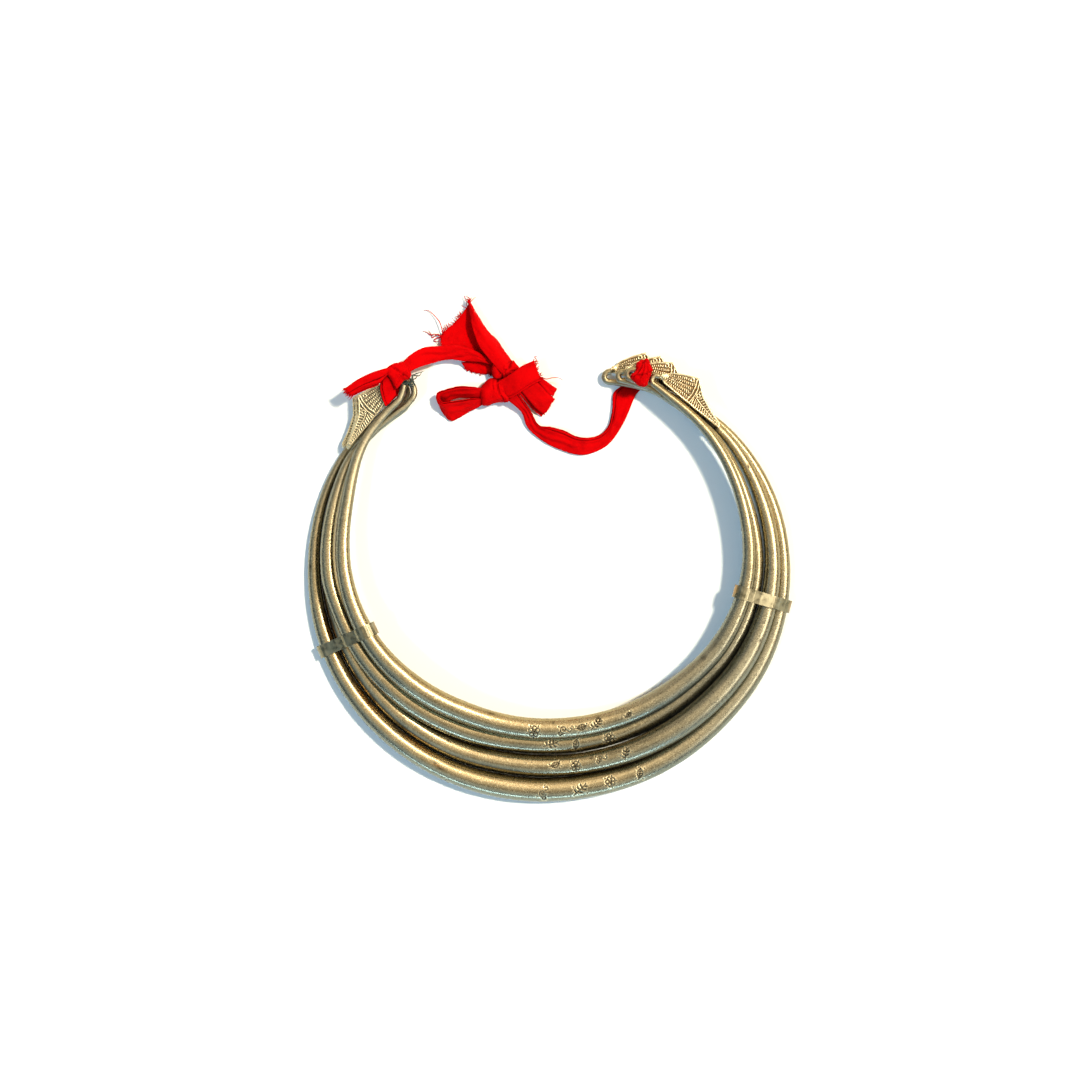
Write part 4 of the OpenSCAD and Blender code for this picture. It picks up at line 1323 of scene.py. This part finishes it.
@dataclass(frozen=True)
class RedCotton:
    """Plain woven cotton, torn into a strip and dyed bright red: soft, matt, with a fine even weave."""

    lit: str = "#CE0003"
    sunk: str = "#A00003"
    fold_shade: str = "#5E0002"
    fuzz: str = "#FF2020"
    roughness: float = 0.92
    gloss: float = 0.04
    sheen: float = 0.05
    occlusion_reach_mm: float = 3.0
    # The real threads lie about 0.3 mm apart, too fine for the render, so they are drawn at 0.5 mm.
    thread_mm: float = 0.5
    slub_mm: float = 0.7
    cloud_mm: float = 5.0
    bump_mm: float = 0.12

    def material(self) -> bpy.types.Material:
        """Builds the finish: over-and-under threads in bump and tone, soft blotches, a faint fuzz and painted
        shade in the folds.

        The weave is the product of two sines, one along each side of the flat cloth.
        """
        # Matt threads over one another: the eye sees a flat, strong red, darkened in the folds by painted shade.
        material, tree, shader = new_material("red cotton, plain woven and torn")
        node = partial(add_node, tree)
        along = node("SeparateXYZ", {0: node("UVMap", out="UV", uv_map="UVMap")}, "X")
        turns = [
            node("Math", {0: side, 1: 2 * np.pi / self.thread_mm}, operation="MULTIPLY")
            for side in (along, along.node.outputs["Y"])
        ]
        waves = [node("Math", {0: turn}, operation="SINE") for turn in turns]
        weave = node("Math", {0: waves[0], 1: waves[1]}, operation="MULTIPLY")
        weave = node("MapRange", {0: weave, 1: -1.0, 2: 1.0})
        spot = node("TexCoord", out="Object")
        slub, cloud = (
            node("TexNoise", {"Vector": spot, "Scale": 1 / (size * MM), "Detail": detail}, "Fac")
            for size, detail in ((self.slub_mm, 3.0), (self.cloud_mm, 2.0))
        )
        share = node("Math", {0: weave, 1: slub, 2: cloud}, operation="MULTIPLY_ADD")
        tone = node("ValToRGB", {"Fac": share}, stops=((0.3, self.sunk), (0.75, self.lit)))
        # Painted shade: darker red in folds and under layers, where ambient occlusion finds little open sky.
        open_sky = node("AmbientOcclusion", {"Distance": self.occlusion_reach_mm * MM}, "AO", samples=8)
        depth = node("MapRange", {0: open_sky, 1: 0.25, 2: 0.9})
        tone = node("Mix", {0: depth, 6: self.fold_shade, 7: tone}, **COLOURS)
        height = node("Math", {0: weave, 1: slub}, operation="ADD")
        bump = node("Bump", {"Height": height, "Strength": 0.6, "Distance": self.bump_mm * MM})
        feed(tree, shader, {
            "Base Color": tone, "Roughness": self.roughness, "Specular IOR Level": self.gloss,
            "Sheen Weight": self.sheen, "Sheen Tint": self.fuzz, "Normal": bump,
        })
        return material


@dataclass(frozen=True)
class GreenThread:
    """Twisted sewing thread, nearly black green, with a dull waxy shine."""

    colour: str = "#141E1A"
    light: str = "#32463C"
    roughness: float = 0.6
    twist_mm: float = 0.4

    def material(self) -> bpy.types.Material:
        """Builds the finish: dark green with lighter turns of the twist."""
        # Waxed thread: the eye sees a dark line with small lighter turns.
        material, tree, shader = new_material("sewing thread, twisted, dark green")
        node = partial(add_node, tree)
        place = node("TexCoord", out="Object")
        twist = node("TexNoise", {"Vector": place, "Scale": 1 / (self.twist_mm * MM), "Detail": 2.0}, "Fac")
        tone = node("ValToRGB", {"Fac": twist}, stops=((0.4, self.colour), (0.7, self.light)))
        feed(tree, shader, {"Base Color": tone, "Roughness": self.roughness})
        return material


@dataclass(frozen=True)
class WhitePaper:
    """Matt white paper, laid flat under the choker."""

    colour: str = "#F4F3F1"
    roughness: float = 0.95
    gloss: float = 0.1

    def material(self) -> bpy.types.Material:
        """Builds the finish: one even white."""
        # Uncoated paper: the eye sees plain white with soft shadows and no reflection.
        material, tree, shader = new_material("matt white paper")
        feed(tree, shader, {
            "Base Color": self.colour, "Roughness": self.roughness, "Specular IOR Level": self.gloss,
        })
        return material


def cloth_pieces() -> tuple[ClothPiece, ...]:
    """The torn tie from the left eyes to the right ones, stretch by stretch."""
    return (
        FoldedStrip(
            "left_loop", (10.5, 38), "folded", ("inner_ring",), 3, rows=(
                (-55.0, 73.5, 10.6, -51.7, 73.2, 10.6, 0), (-55.2, 73.8, 5.5, -51.7, 73.3, 5.5, 0),
                (-55.3, 73.9, 1.9, -51.9, 73.4, 1.9, 0), (-55.8, 72.2, 0.7, -52.8, 71.1, 0.7, 0),
                (-57.0, 68.8, 0.7, -55.2, 66.5, 0.7, 0), (-56.6, 67.4, 1.3, -58.3, 63.6, 1.2, 0),
                (-56.4, 67.0, 2.8, -58.7, 63.1, 2.8, 0), (-56.2, 66.8, 6.0, -58.5, 63.0, 6.0, 0),
                (-56.0, 66.3, 10.2, -58.6, 62.2, 10.2, 0), (-55.5, 66.0, 11.6, -59.4, 61.9, 11.5, 0),
                (-55.9, 69.2, 12.2, -61.0, 67.0, 12.1, 0.6), (-56.8, 72.4, 12.4, -61.0, 71.2, 12.3, 0.6),
            ), reach=(0.0, 0.3), thick=(0.25, 0.6), folding=Folding.THREE_LAYERS, pull=0.2, wall=0.22,
        ),
        FoldedStrip(
            "left_strip", (17, 33), "folded", ("left_knot", "upper_knot"), 5, rows=(
                (-49.7, 74.2, 12.6, -52.5, 77.8, 13.1, 0.2), (-47.0, 75.6, 10.4, -49.7, 80.4, 11.8, 0.6),
                (-42.1, 77.4, 6.8, -45.2, 83.0, 9.5, 1), (-36.3, 79.0, 4.8, -39.5, 83.6, 7.6, 1),
                (-30.5, 78.4, 4.0, -33.3, 84.0, 6.4, 1), (-25.0, 78.2, 4.2, -26.8, 82.1, 5.4, 0.6),
                (-20.0, 77.0, 4.4, -20.4, 78.2, 4.6, 0),
            ), reach=(-0.25, 0.3), thick=(0.45, 0.85), folding=Folding.TWO_LAYERS,
        ),
        FoldedStrip(
            "bow_loop", (11.5, 38), "folded", ("lower_knot",), 7, rows=(
                (-24.3, 68.6, 6.6, -24.5, 64.6, 4.2, 0), (-28.5, 68.9, 7.4, -29.2, 65.1, 4.0, 0.5),
                (-32.9, 68.9, 7.4, -33.4, 65.2, 3.0, 1), (-37.2, 67.9, 7.0, -37.0, 63.8, 1.8, 1),
                (-40.2, 66.9, 6.6, -39.2, 62.4, 1.1, 1), (-40.5, 65.0, 6.8, -38.4, 59.8, 0.8, 1),
                (-38.9, 63.3, 7.0, -35.7, 57.1, 0.8, 1), (-35.9, 63.4, 7.0, -33.1, 57.9, 1.0, 1),
                (-30.8, 64.1, 6.8, -29.4, 60.1, 1.6, 1), (-27.1, 64.5, 6.4, -26.1, 61.6, 2.8, 0.5),
                (-24.4, 64.8, 5.6, -24.5, 62.5, 3.8, 0),
            ), reach=(-0.3, 0.3), thick=(0.35, 0.55), folding=Folding.TWO_LAYERS, pull=0.22,
        ),
        FoldedStrip(
            "right_strip", (14, 90), "folded", ("stopper_tuft", "lower_knot"), 9, rows=(
                (-9.8, 65.4, 6.5, -14.2, 63.9, 5.4, 0), (-6.1, 59.7, 3.5, -9.7, 59.9, 2.8, 1),
                (-3.3, 55.1, 2.6, -7.4, 54.4, 1.2, 1), (1.1, 54.5, 3.6, -2.4, 49.9, 0.9, 1),
                (5.9, 53.2, 4.0, 3.5, 46.7, 0.9, 1), (11.0, 50.9, 3.4, 11.6, 44.4, 0.9, 1),
                (17.6, 51.1, 2.8, 18.2, 45.8, 0.9, 1), (22.1, 54.6, 2.4, 23.4, 49.5, 0.9, 1),
                (23.5, 60.7, 1.8, 28.2, 56.9, 0.9, 1), (23.7, 66.6, 1.1, 31.9, 65.7, 0.8, 0.6),
                (26.5, 69.4, 0.7, 34.4, 68.7, 0.7, 0), (31.9, 71.3, 1.1, 36.2, 70.6, 1.1, 0),
                (32.0, 71.3, 3.2, 35.8, 70.7, 3.2, 0), (32.0, 71.6, 6.6, 35.6, 70.7, 6.6, 0),
                (32.4, 72.2, 10.0, 35.4, 70.8, 10.0, 0), (32.4, 72.2, 10.8, 35.3, 70.9, 10.8, 0),
            ), reach=(-0.3, 0.0), thick=(0.25, 0.6), folding=Folding.TWO_LAYERS, hem=-0.62,
            hem_depth=0.65, wall=0.22,
        ),
        FoldedStrip(
            "folded_end", (16, 14), "folded", ("lower_knot",), 11, rows=(
                (-18.0, 65.4, 5.6, -19.0, 70.2, 6.8, 0.2), (-13.6, 64.6, 7.0, -16.0, 71.9, 8.0, 0.4),
                (-9.1, 67.0, 9.0, -12.8, 73.8, 9.6, 0.6), (-6.0, 69.0, 9.2, -9.5, 76.2, 9.8, 0.6),
                (-2.4, 70.9, 8.0, -5.3, 78.2, 8.8, 0.6),
            ), reach=(0.0, 0.05), thick=(0.5, 0.7), folding=Folding.TWO_LAYERS, pull=0.1, hem=-0.74,
            fray=Fray(60, (0.5, 2.0)),
        ),
        FoldedStrip(
            "upper_tail", (10, 10), "folded", ("folded_end",), 13, rows=(
                (-3.2, 69.6, 6.8, -1.4, 71.4, 7.2, 0), (-0.4, 66.8, 5.2, 1.5, 69.4, 5.4, 1),
                (1.8, 65.4, 3.6, 3.2, 68.4, 3.8, 0),
            ), reach=(-1.0, 0.0), thick=(0.4, 0.5), folding=Folding.TWO_LAYERS, pull=0.15,
            fray=Fray(14, (0.3, 0.8)), area=78,
        ),
        FoldedStrip(
            "lower_tail", (14, 14), "folded", ("folded_end",), 15, rows=(
                (-10.2, 65.6, 6.9, -3.2, 69.6, 7.9, 0), (-5.9, 60.6, 3.0, -0.4, 66.9, 5.4, 1),
                (-2.1, 57.6, 1.2, 2.5, 64.4, 3.6, 0.3),
            ), reach=(-0.35, 0.0), thick=(0.5, 1.0), folding=Folding.OPEN_ROLL, pull=0.15,
            fray=Fray(20, (0.3, 0.9)),
        ),
        FoldedStrip(
            "left_tail", (10, 15), "folded", ("left_knot", "inner_ring"), 17, rows=(
                (-57.1, 75.5, 14.2, -58.4, 73.0, 13.4, 0), (-60.4, 74.6, 14.6, -61.5, 69.2, 13.4, 1),
                (-64.2, 73.4, 14.6, -63.9, 68.0, 13.2, 1), (-69.2, 71.0, 14.2, -67.6, 66.6, 13.2, 1),
                (-73.6, 68.0, 13.6, -71.3, 64.9, 13.2, 0.4),
            ), reach=(-0.9, 0.1), thick=(0.4, 0.95), folding=Folding.OPEN_TURNED, pull=0.2, hem=0.0,
            hem_depth=0.8, fray=Fray(70, (0.5, 2.2)),
        ),
        TornSheet(
            "wide_end", (22, 28), "laid", ("upper_knot", "left_strip"), 19, rows=(
                (-20.5, 78.4, 2.4, -18.5, 77.6, 2.0, -15.5, 77.0, 1.8, -10.9, 75.9, 3.6, -12.6, 74.0, 8.0,
                 -17.0, 73.9, 7.6),
                (-23.8, 80.2, 2.4, -21.3, 80.9, 2.0, -18.8, 80.6, 1.4, -14.7, 80.2, 2.8, -16.1, 78.2, 7.4,
                 -20.4, 77.7, 7.2),
                (-28.8, 82.2, 3.2, -26.5, 85.2, 1.8, -23.2, 86.0, 1.0, -18.5, 85.7, 2.6, -20.5, 84.1, 7.6,
                 -24.9, 83.4, 7.2),
                (-34.0, 83.2, 3.8, -31.3, 88.7, 1.6, -27.6, 90.9, 1.0, -23.0, 90.8, 2.6, -24.2, 89.4, 7.2,
                 -27.3, 89.3, 6.6),
                (-38.6, 83.6, 3.4, -36.6, 88.7, 1.4, -31.7, 93.9, 1.2, -27.0, 96.9, 2.6, -27.1, 95.9, 6.2,
                 -28.4, 94.9, 5.4),
                (-39.2, 88.0, 1.8, -36.8, 90.6, 1.4, -32.8, 94.4, 1.6, -28.8, 100.1, 2.6, -28.8, 99.8, 5.0,
                 -29.2, 99.0, 4.6),
            ), fray=Fray(130, (0.4, 2.6)),
        ),
        TornSheet(
            "under_flap", (12, 10), "laid", ("upper_knot",), 21, rows=(
                (-32.0, 78.2, 2.5, -25.8, 78.9, 2.7, -20.4, 78.4, 2.7),
                (-30.3, 75.9, 0.7, -25.2, 74.4, 0.7, -20.0, 74.2, 0.9),
            ), fray=Fray(110, (0.4, 1.7)), area=60,
        ),
        PulledKnot(
            "left_knot", (12, 10), "gathered", ("left_loop",), 31, middle=(-54.0, 72.8), outline=(
                (-4.4, 0.6), (-4.0, 2.9), (-0.9, 4.2), (1.5, 4.4), (4.0, 0.9), (3.2, -1.3), (1.4, -1.9),
                (0.2, -3.6), (-1.4, -4.7), (-2.7, -2.2),
            ), levels=((11.2, 0.8), (11.9, 0.95), (13.0, 1.02), (14.2, 0.98), (15.2, 0.72), (15.7, 0.3)),
            creases=(Crease(((-2.2, 2.6), (0.2, 0.9), (2.6, -0.6)), 0.5, 0.25),
                     Crease(((-1.0, -3.8), (0.6, -1.0), (3.2, 1.2)), 0.4, -0.2)), area=75,
        ),
        PulledKnot(
            "upper_knot", (12, 10), "gathered", ("lower_knot",), 33, middle=(-15.0, 75.2), outline=(
                (-4.9, 2.2), (-0.8, 2.3), (1.6, 3.2), (3.0, 2.0), (4.2, 0.4), (1.9, -1.1), (-1.8, -3.4),
                (-4.9, -2.9),
            ), levels=((0.6, 0.6), (2.0, 0.9), (4.4, 1), (6.6, 0.94), (7.7, 0.7), (8.2, 0.25)),
            creases=(Crease(((-2.2, 3.0), (-2.5, 0.4), (-1.6, -2.6)), 0.7, 0.35),
                     Crease(((-1.3, 3.0), (-1.5, 0.6), (-0.5, -2.2)), 0.35, 0.15),
                     Crease(((1.6, 2.6), (0.8, 0.6), (-1.4, -0.9)), 0.7, 0.4)),
        ),
        PulledKnot(
            "lower_knot", (16, 10), "gathered", ("right_strip",), 35, middle=(-18.9, 66.5), outline=(
                (-5.6, 1.8), (-2.3, 5.5), (1.4, 5.3), (2.7, 2.5), (3.3, 0.4), (4.4, -1.7), (3.7, -2.7),
                (-0.1, -3.2), (-3.0, -4.3), (-5.2, -3.5),
            ), levels=((0.3, 0.6), (1.6, 0.9), (4.0, 1), (6.2, 0.95), (7.8, 0.7), (8.4, 0.3)),
            creases=(Crease(((-1.0, 5.4), (-1.6, 3.4), (-1.2, 1.8)), 0.35, 0.15),
                     Crease(((0.9, 5.2), (0.5, 3.0), (1.3, 0.2), (2.6, -2.4)), 0.7, 0.4),
                     Crease(((1.9, 4.6), (1.4, 2.6), (2.1, 0.4), (3.3, -2.0)), 0.5, 0.2)),
        ),
        PulledKnot(
            "stopper_tuft", (10.5, 10), "gathered", ("right_strip", "inner_ring"), 37,
            middle=(34.6, 73.4), outline=(
                (-1.3, 4.6), (-0.3, 5.0), (1.4, 4.6), (2.5, 3.0), (3.2, 1.1), (3.1, -0.4), (2.1, -1.9),
                (1.8, -3.2), (1.5, -4.3), (0.2, -4.8), (-1.5, -4.3), (-3.4, -2.9), (-4.6, -1.7),
                (-3.9, -0.4), (-2.8, 0.8), (-2.6, 2.2), (-2.2, 3.6),
            ), levels=((11.15, 0.6), (12.2, 0.85), (14.4, 1), (16.2, 0.95), (17.6, 0.7), (18.2, 0.3)),
            creases=(Crease(((0.2, 4.8), (-0.9, 1.8), (-2.6, -0.4)), 0.7, 0.3),
                     Crease(((0.5, 4.8), (0.2, 1.6), (-0.6, -0.8)), 0.6, 0.2),
                     Crease(((0.9, 4.6), (1.4, 1.8), (1.5, 0.2)), 0.6, 0.2),
                     Crease(((-3.6, -1.2), (-1.4, -1.0), (0.6, -0.7), (2.6, 0.2)), 0.5, 0.3)),
        ),
    )


def loose_threads() -> tuple[LooseThreads, ...]:
    """The long threads that stick out of the torn ends, drawn twice as thick as real so that they show."""
    wide_end = (
        ((-38.6, 88.6, 2.0), (-39.6, 92.4, 2.4), (-41.2, 94.8, 1.6), (-43.8, 97.2, 0.8), (-46.0, 97.6, 0.5)),
        ((-38.8, 87.6, 1.8), (-41.6, 88.6, 1.6), (-43.2, 88.4, 0.9), (-44.6, 89.4, 0.6), (-46.2, 89.9, 0.4)),
        ((-38.8, 87.4, 1.8), (-41.0, 87.2, 1.2), (-42.0, 86.4, 0.8), (-41.0, 85.9, 0.5), (-39.9, 86.3, 0.8)),
        ((-38.6, 87.2, 1.8), (-40.6, 88.6, 1.2), (-42.4, 87.4, 0.8), (-43.0, 88.6, 0.5), (-44.0, 90.2, 0.4)),
        ((-28.9, 99.8, 3.4), (-29.4, 101.2, 3.0), (-30.4, 101.6, 2.0), (-30.8, 102.6, 1.2), (-31.0, 103.0, 0.8)),
        ((-28.9, 99.8, 3.6), (-28.6, 101.0, 3.0), (-29.2, 102.0, 2.4), (-29.8, 102.4, 1.8), (-29.6, 103.4, 1.2)),
    )
    folded_end = (
        ((-2.4, 72.4, 8.4), (-0.6, 71.7, 8.0), (1.6, 72.2, 7.2), (4.0, 72.2, 6.0), (5.8, 71.2, 5.0)),
        ((-4.6, 77.4, 9.0), (-4.3, 78.8, 9.2), (-4.9, 79.6, 9.0), (-4.2, 80.0, 8.6), (-3.9, 79.4, 8.4)),
    )
    return (
        LooseThreads("wide_end_long_threads", wide_end, 0.2),
        LooseThreads("folded_end_long_threads", folded_end, 0.18),
    )


def binding_threads() -> LooseThreads:
    """The dark sewing thread wound round the left eyes, with its loose strands.

    The real thread is about 0.35 mm thick. It is drawn 0.56 mm thick, so that it shows.
    """
    # Four turns side by side. Columns: X, Y and Z of the first turn, and the step in Y to the next.
    turns = tuple(
        tuple((x + 0.55 * k, y + shift * k, z) for x, y, z, shift in (
            (-53.3, 70.5, 10.2, 0.1), (-52.9, 70.2, 11.5, 0.05),
            (-52.3, 69.6, 11.5, 0.05), (-52.1, 69.0, 10.2, 0.1),
        ))
        for k in range(4)
    )
    strands = (
        ((-51.0, 69.6, 11.3), (-50.0, 70.8, 11.6), (-50.6, 72.2, 10.6), (-48.4, 73.4, 9.6), (-45.2, 74.6, 8.4)),
        ((-50.6, 69.4, 11.3), (-49.5, 71.4, 11.0), (-49.4, 72.9, 10.0), (-47.2, 72.8, 9.0), (-46.2, 74.2, 8.2)),
        ((-50.8, 69.0, 11.2), (-49.3, 69.6, 10.8), (-49.1, 70.8, 10.2), (-50.2, 71.6, 10.0), (-48.8, 72.6, 9.6)),
        ((-50.4, 68.9, 11.2), (-49.0, 70.2, 10.6), (-49.8, 71.2, 10.2), (-48.4, 71.8, 9.6), (-47.6, 73.2, 9.0)),
        ((-50.9, 69.9, 11.3), (-49.4, 70.4, 11.0), (-48.7, 69.6, 10.2), (-49.3, 68.8, 9.8), (-50.2, 69.2, 10.2)),
    )
    return LooseThreads("eye_binding_threads", turns + strands, 0.28)


@dataclass(frozen=True)
class Lamp:
    """A soft box: bearing and height as seen from the choker, distance, size, power and colour.

    It shows in the silver alone, and leaves the table and the cloth to the suns.
    """

    name: str
    bearing: float
    height: float
    distance: float
    size: tuple[float, float]
    power: float
    colour: str


@dataclass(frozen=True)
class Sun:
    """Far light for table and cloth: bearing, height, power, spread in degrees and colour."""

    name: str
    bearing: float
    height: float
    power: float
    spread: float
    colour: str


def toward(bearing: float, height: float) -> Vector:
    """The direction from the choker at a bearing and a height, in degrees."""
    b, h = np.radians([bearing, height])
    return Vector((np.cos(b) * np.cos(h), np.sin(b) * np.cos(h), np.sin(h)))


@dataclass
class Studio:
    """White table, camera straight above and soft daylight from the upper right. Sizes are in metres."""

    camera_height: float = 1.1
    frame_width: float = 0.398
    frame_shift: tuple[float, float] = (-0.0074, 0.0324)
    sensor: float = 36.0
    table_size: float = 6.0
    suns: tuple[Sun, ...] = (
        Sun("key", 27, 63, 3.9, 6.0, "#FFF8DE"),
        Sun("left sky", 212, 60, 1.15, 9.0, "#90D2FF"),
    )
    lamps: tuple[Lamp, ...] = (
        Lamp("window", 34, 53, 1.3, (0.8, 0.17), 11, "#FFF8EC"),
        Lamp("low window", -8, 42, 1.3, (1.3, 0.24), 8, "#FFF8EC"),
        Lamp("window glow", 26, 46, 1.4, (2.0, 0.8), 6, "#FFEBD0"),
        Lamp("back wall", 72, 58, 1.4, (1.2, 1.0), 4.6, "#FFEED8"),
        Lamp("low wall", 98, 18, 1.5, (3.4, 0.8), 5.2, "#FFEAD0"),
        Lamp("front card", -80, 40, 1.4, (2.0, 0.7), 2.4, "#DCE8EC"),
        Lamp("top card", 90, 86, 1.5, (1.2, 1.0), 1.5, "#FFF4E0"),
        Lamp("front strip", -97, 12, 1.3, (1.6, 0.11), 7, "#C8EAFF"),
        Lamp("left card", 206, 50, 1.5, (1.8, 0.9), 2.2, "#CCE4F4"),
    )
    glow_bearing: float = 35.0
    glow_height: float = 50.0
    sky: tuple[tuple[float, str], ...] = (
        (0.0, "#56646F"), (0.5, "#63707B"), (0.8, "#8E877A"), (1.0, "#9C917F"),
    )
    sky_strength: float = 1.7

    def camera(self) -> None:
        """Places the camera over the neck's middle, looking straight down, with the picture's shift."""
        data = bpy.data.cameras.new("camera")
        data.sensor_width = self.sensor
        data.lens = self.sensor * self.camera_height / self.frame_width
        data.shift_x, data.shift_y = self.frame_shift
        obj = in_scene(bpy.data.objects.new("camera", data))
        obj.location = (NECK[0] * MM, NECK[1] * MM, self.camera_height)
        bpy.context.scene.camera = obj

    def table(self) -> None:
        """Lays the white table under the choker."""
        half = self.table_size / 2 / MM
        points = half * np.array([[-1, -1, 0], [1, -1, 0], [1, 1, 0], [-1, 1, 0]], float)
        obj = put_mesh("table", points, np.array([[0, 1, 2, 3]]))
        dress(obj, WhitePaper().material())

    def lights(self) -> None:
        """Hangs the suns and the soft boxes, each turned to the choker."""
        for light in (*self.suns, *self.lamps):
            is_lamp = isinstance(light, Lamp)
            data = bpy.data.lights.new(light.name, "AREA" if is_lamp else "SUN")
            data.energy, data.color = light.power, hex_colour(light.colour)[:3]
            obj = in_scene(bpy.data.objects.new(light.name, data))
            away = toward(light.bearing, light.height)
            obj.rotation_euler = away.to_track_quat("Z", "Y").to_euler()
            if is_lamp:
                data.shape = "RECTANGLE"
                data.size, data.size_y = light.size
                obj.location = away * light.distance
                obj.visible_diffuse = False
            else:
                data.angle = np.radians(light.spread)
                obj.visible_glossy = False

    def air(self) -> None:
        """Sets the sky, whose colour goes by the angle from the window's glow."""
        world = bpy.data.worlds.new("sky")
        world.use_nodes = True
        tree = world.node_tree
        node = partial(add_node, tree)
        ahead = node("TexCoord", out="Generated")
        glow = toward(self.glow_bearing, self.glow_height)
        share = node("MapRange", {
            0: node("VectorMath", {0: ahead, 1: glow}, "Value", operation="DOT_PRODUCT"), 1: -1.0, 2: 1.0,
        })
        back = next(n for n in tree.nodes if n.type == "BACKGROUND")
        colour = node("ValToRGB", {"Fac": share}, stops=self.sky)
        feed(tree, back, {"Color": colour, "Strength": self.sky_strength})
        bpy.context.scene.world = world

    def build(self) -> None:
        """Sets up camera, table, light and sky."""
        self.camera()
        self.table()
        self.lights()
        self.air()
        bpy.context.scene.view_settings.view_transform = "Standard"


def rings() -> tuple[NeckRing, ...]:
    """The four rings with their engraved figures and marks, from the outermost."""
    blossom, sprig, leaf, cloud = Motif.BLOSSOM, Motif.SPRIG, Motif.LEAF, Motif.CLOUD
    return (
        NeckRing(
            "outer_ring", OUTER_TUBE, TurnedEnd(3.7, 236, 8, 1.2), TurnedEnd(1.9, -9, 0, 0, 2.2),
            (
                Engraving(cloud, 268.7, -0.5, 60, 0.95), Engraving(sprig, 278.5, -0.6, 0, 1.0),
                Engraving(blossom, 286.7, 0.0, 10, 0.9), Engraving(leaf, 294.8, -0.6, 60, 0.85),
            ),
            (
                Mark(178, -1.2, 2.4, 0.7), Mark(189, 2.5, 2.0, 1.0), Mark(208.5, 2.6, 2.8, 1.0),
                Mark(215.5, 2.9, 3.0, 0.9), Mark(226, 3.1, 7.0, 0.9), Mark(238.6, 0.7, 2.4, 0.8),
                Mark(241, -0.4, 3.2, 0.5), Mark(196, 2.1, 16, 1.5, 1.0, True),
                Mark(214, 2.6, 18, 1.4, 1.0, True), Mark(232, 3.0, 14, 1.1, 0.9, True),
                Mark(240, 0.2, 3.6, 0.6, 0.9, True),
            ), 11,
        ),
        NeckRing(
            "second_ring", SECOND_TUBE, TurnedEnd(4.6, 237, 5, 0), TurnedEnd(1.7, -14.5, 0, 0, 2.2),
            (
                Engraving(leaf, 272.1, 0.5, 20, 0.8), Engraving(blossom, 278.2, -0.4, 0, 0.85),
                Engraving(cloud, 286.2, 0.9, 0, 0.8), Engraving(sprig, 293.5, 0.0, 30, 0.8),
            ),
            (
                Mark(192, -2.3, 3.0, 1.0), Mark(239, 2.3, 1.6, 0.9), Mark(343, -1.6, 1.1, 0.7),
                Mark(388.5, -0.45, 1.2, 0.8), Mark(283, 1.6, 1.0, 0.6),
            ), 23,
        ),
        NeckRing(
            "third_ring", THIRD_TUBE, TurnedEnd(4.3, 237.3, 6, 0, 2.3), TurnedEnd(1.7, -26, 0, 0, 2.2),
            (
                Engraving(sprig, 271.0, -0.3, -20, 0.95), Engraving(leaf, 279.4, -1.0, 80, 0.85),
                Engraving(blossom, 290.6, -1.5, 0, 0.95),
            ),
            (Mark(395, 1.2, 8, 0.8, 0.7),), 37,
        ),
        NeckRing(
            "inner_ring", INNER_TUBE, TurnedEnd(1.73, 237, 8, 0, 2.3), TurnedEnd(1.7, -40, 1.5, 0, 2.1),
            (
                Engraving(blossom, 264.8, -0.9, 0, 1.0), Engraving(cloud, 276.3, -0.2, 0, 0.95),
                Engraving(leaf, 282.4, -0.1, 10, 0.8), Engraving(sprig, 287.8, 0.0, 0, 0.85),
                Engraving(leaf, 299.9, -0.2, 20, 0.6),
            ),
            (
                Mark(289.1, 1.9, 1.6, 1.3), Mark(331.5, 1.5, 1.6, 1.3), Mark(337, 1.5, 2.4, 0.8, 0.7),
                Mark(272, 2.4, 0.8, 0.6), Mark(248, 2.9, 3.2, 0.7, 0.8),
            ), 41,
        ),
    )


def main() -> None:
    """Builds the choker piece by piece and reports each."""
    logging.basicConfig(level=logging.INFO, format="%(name)s: %(message)s")
    silver = OldSilver().material()
    for ring in rings():
        obj = ring.build(silver)
        LOG.info("%s: %d faces", obj.name, len(obj.data.polygons))
    strip = SilverStrip().material()
    for name in ("left_clip", "right_clip"):
        dress(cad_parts[name], strip)
    cotton = RedCotton().material()
    for piece in cloth_pieces():
        obj = piece.build(cotton)
        LOG.info("%s: %d faces", obj.name, len(obj.data.polygons))
    for strands in loose_threads():
        strands.build(cotton)
    binding_threads().build(GreenThread().material())
    Studio().build()


if __name__ == "__main__":
    main()
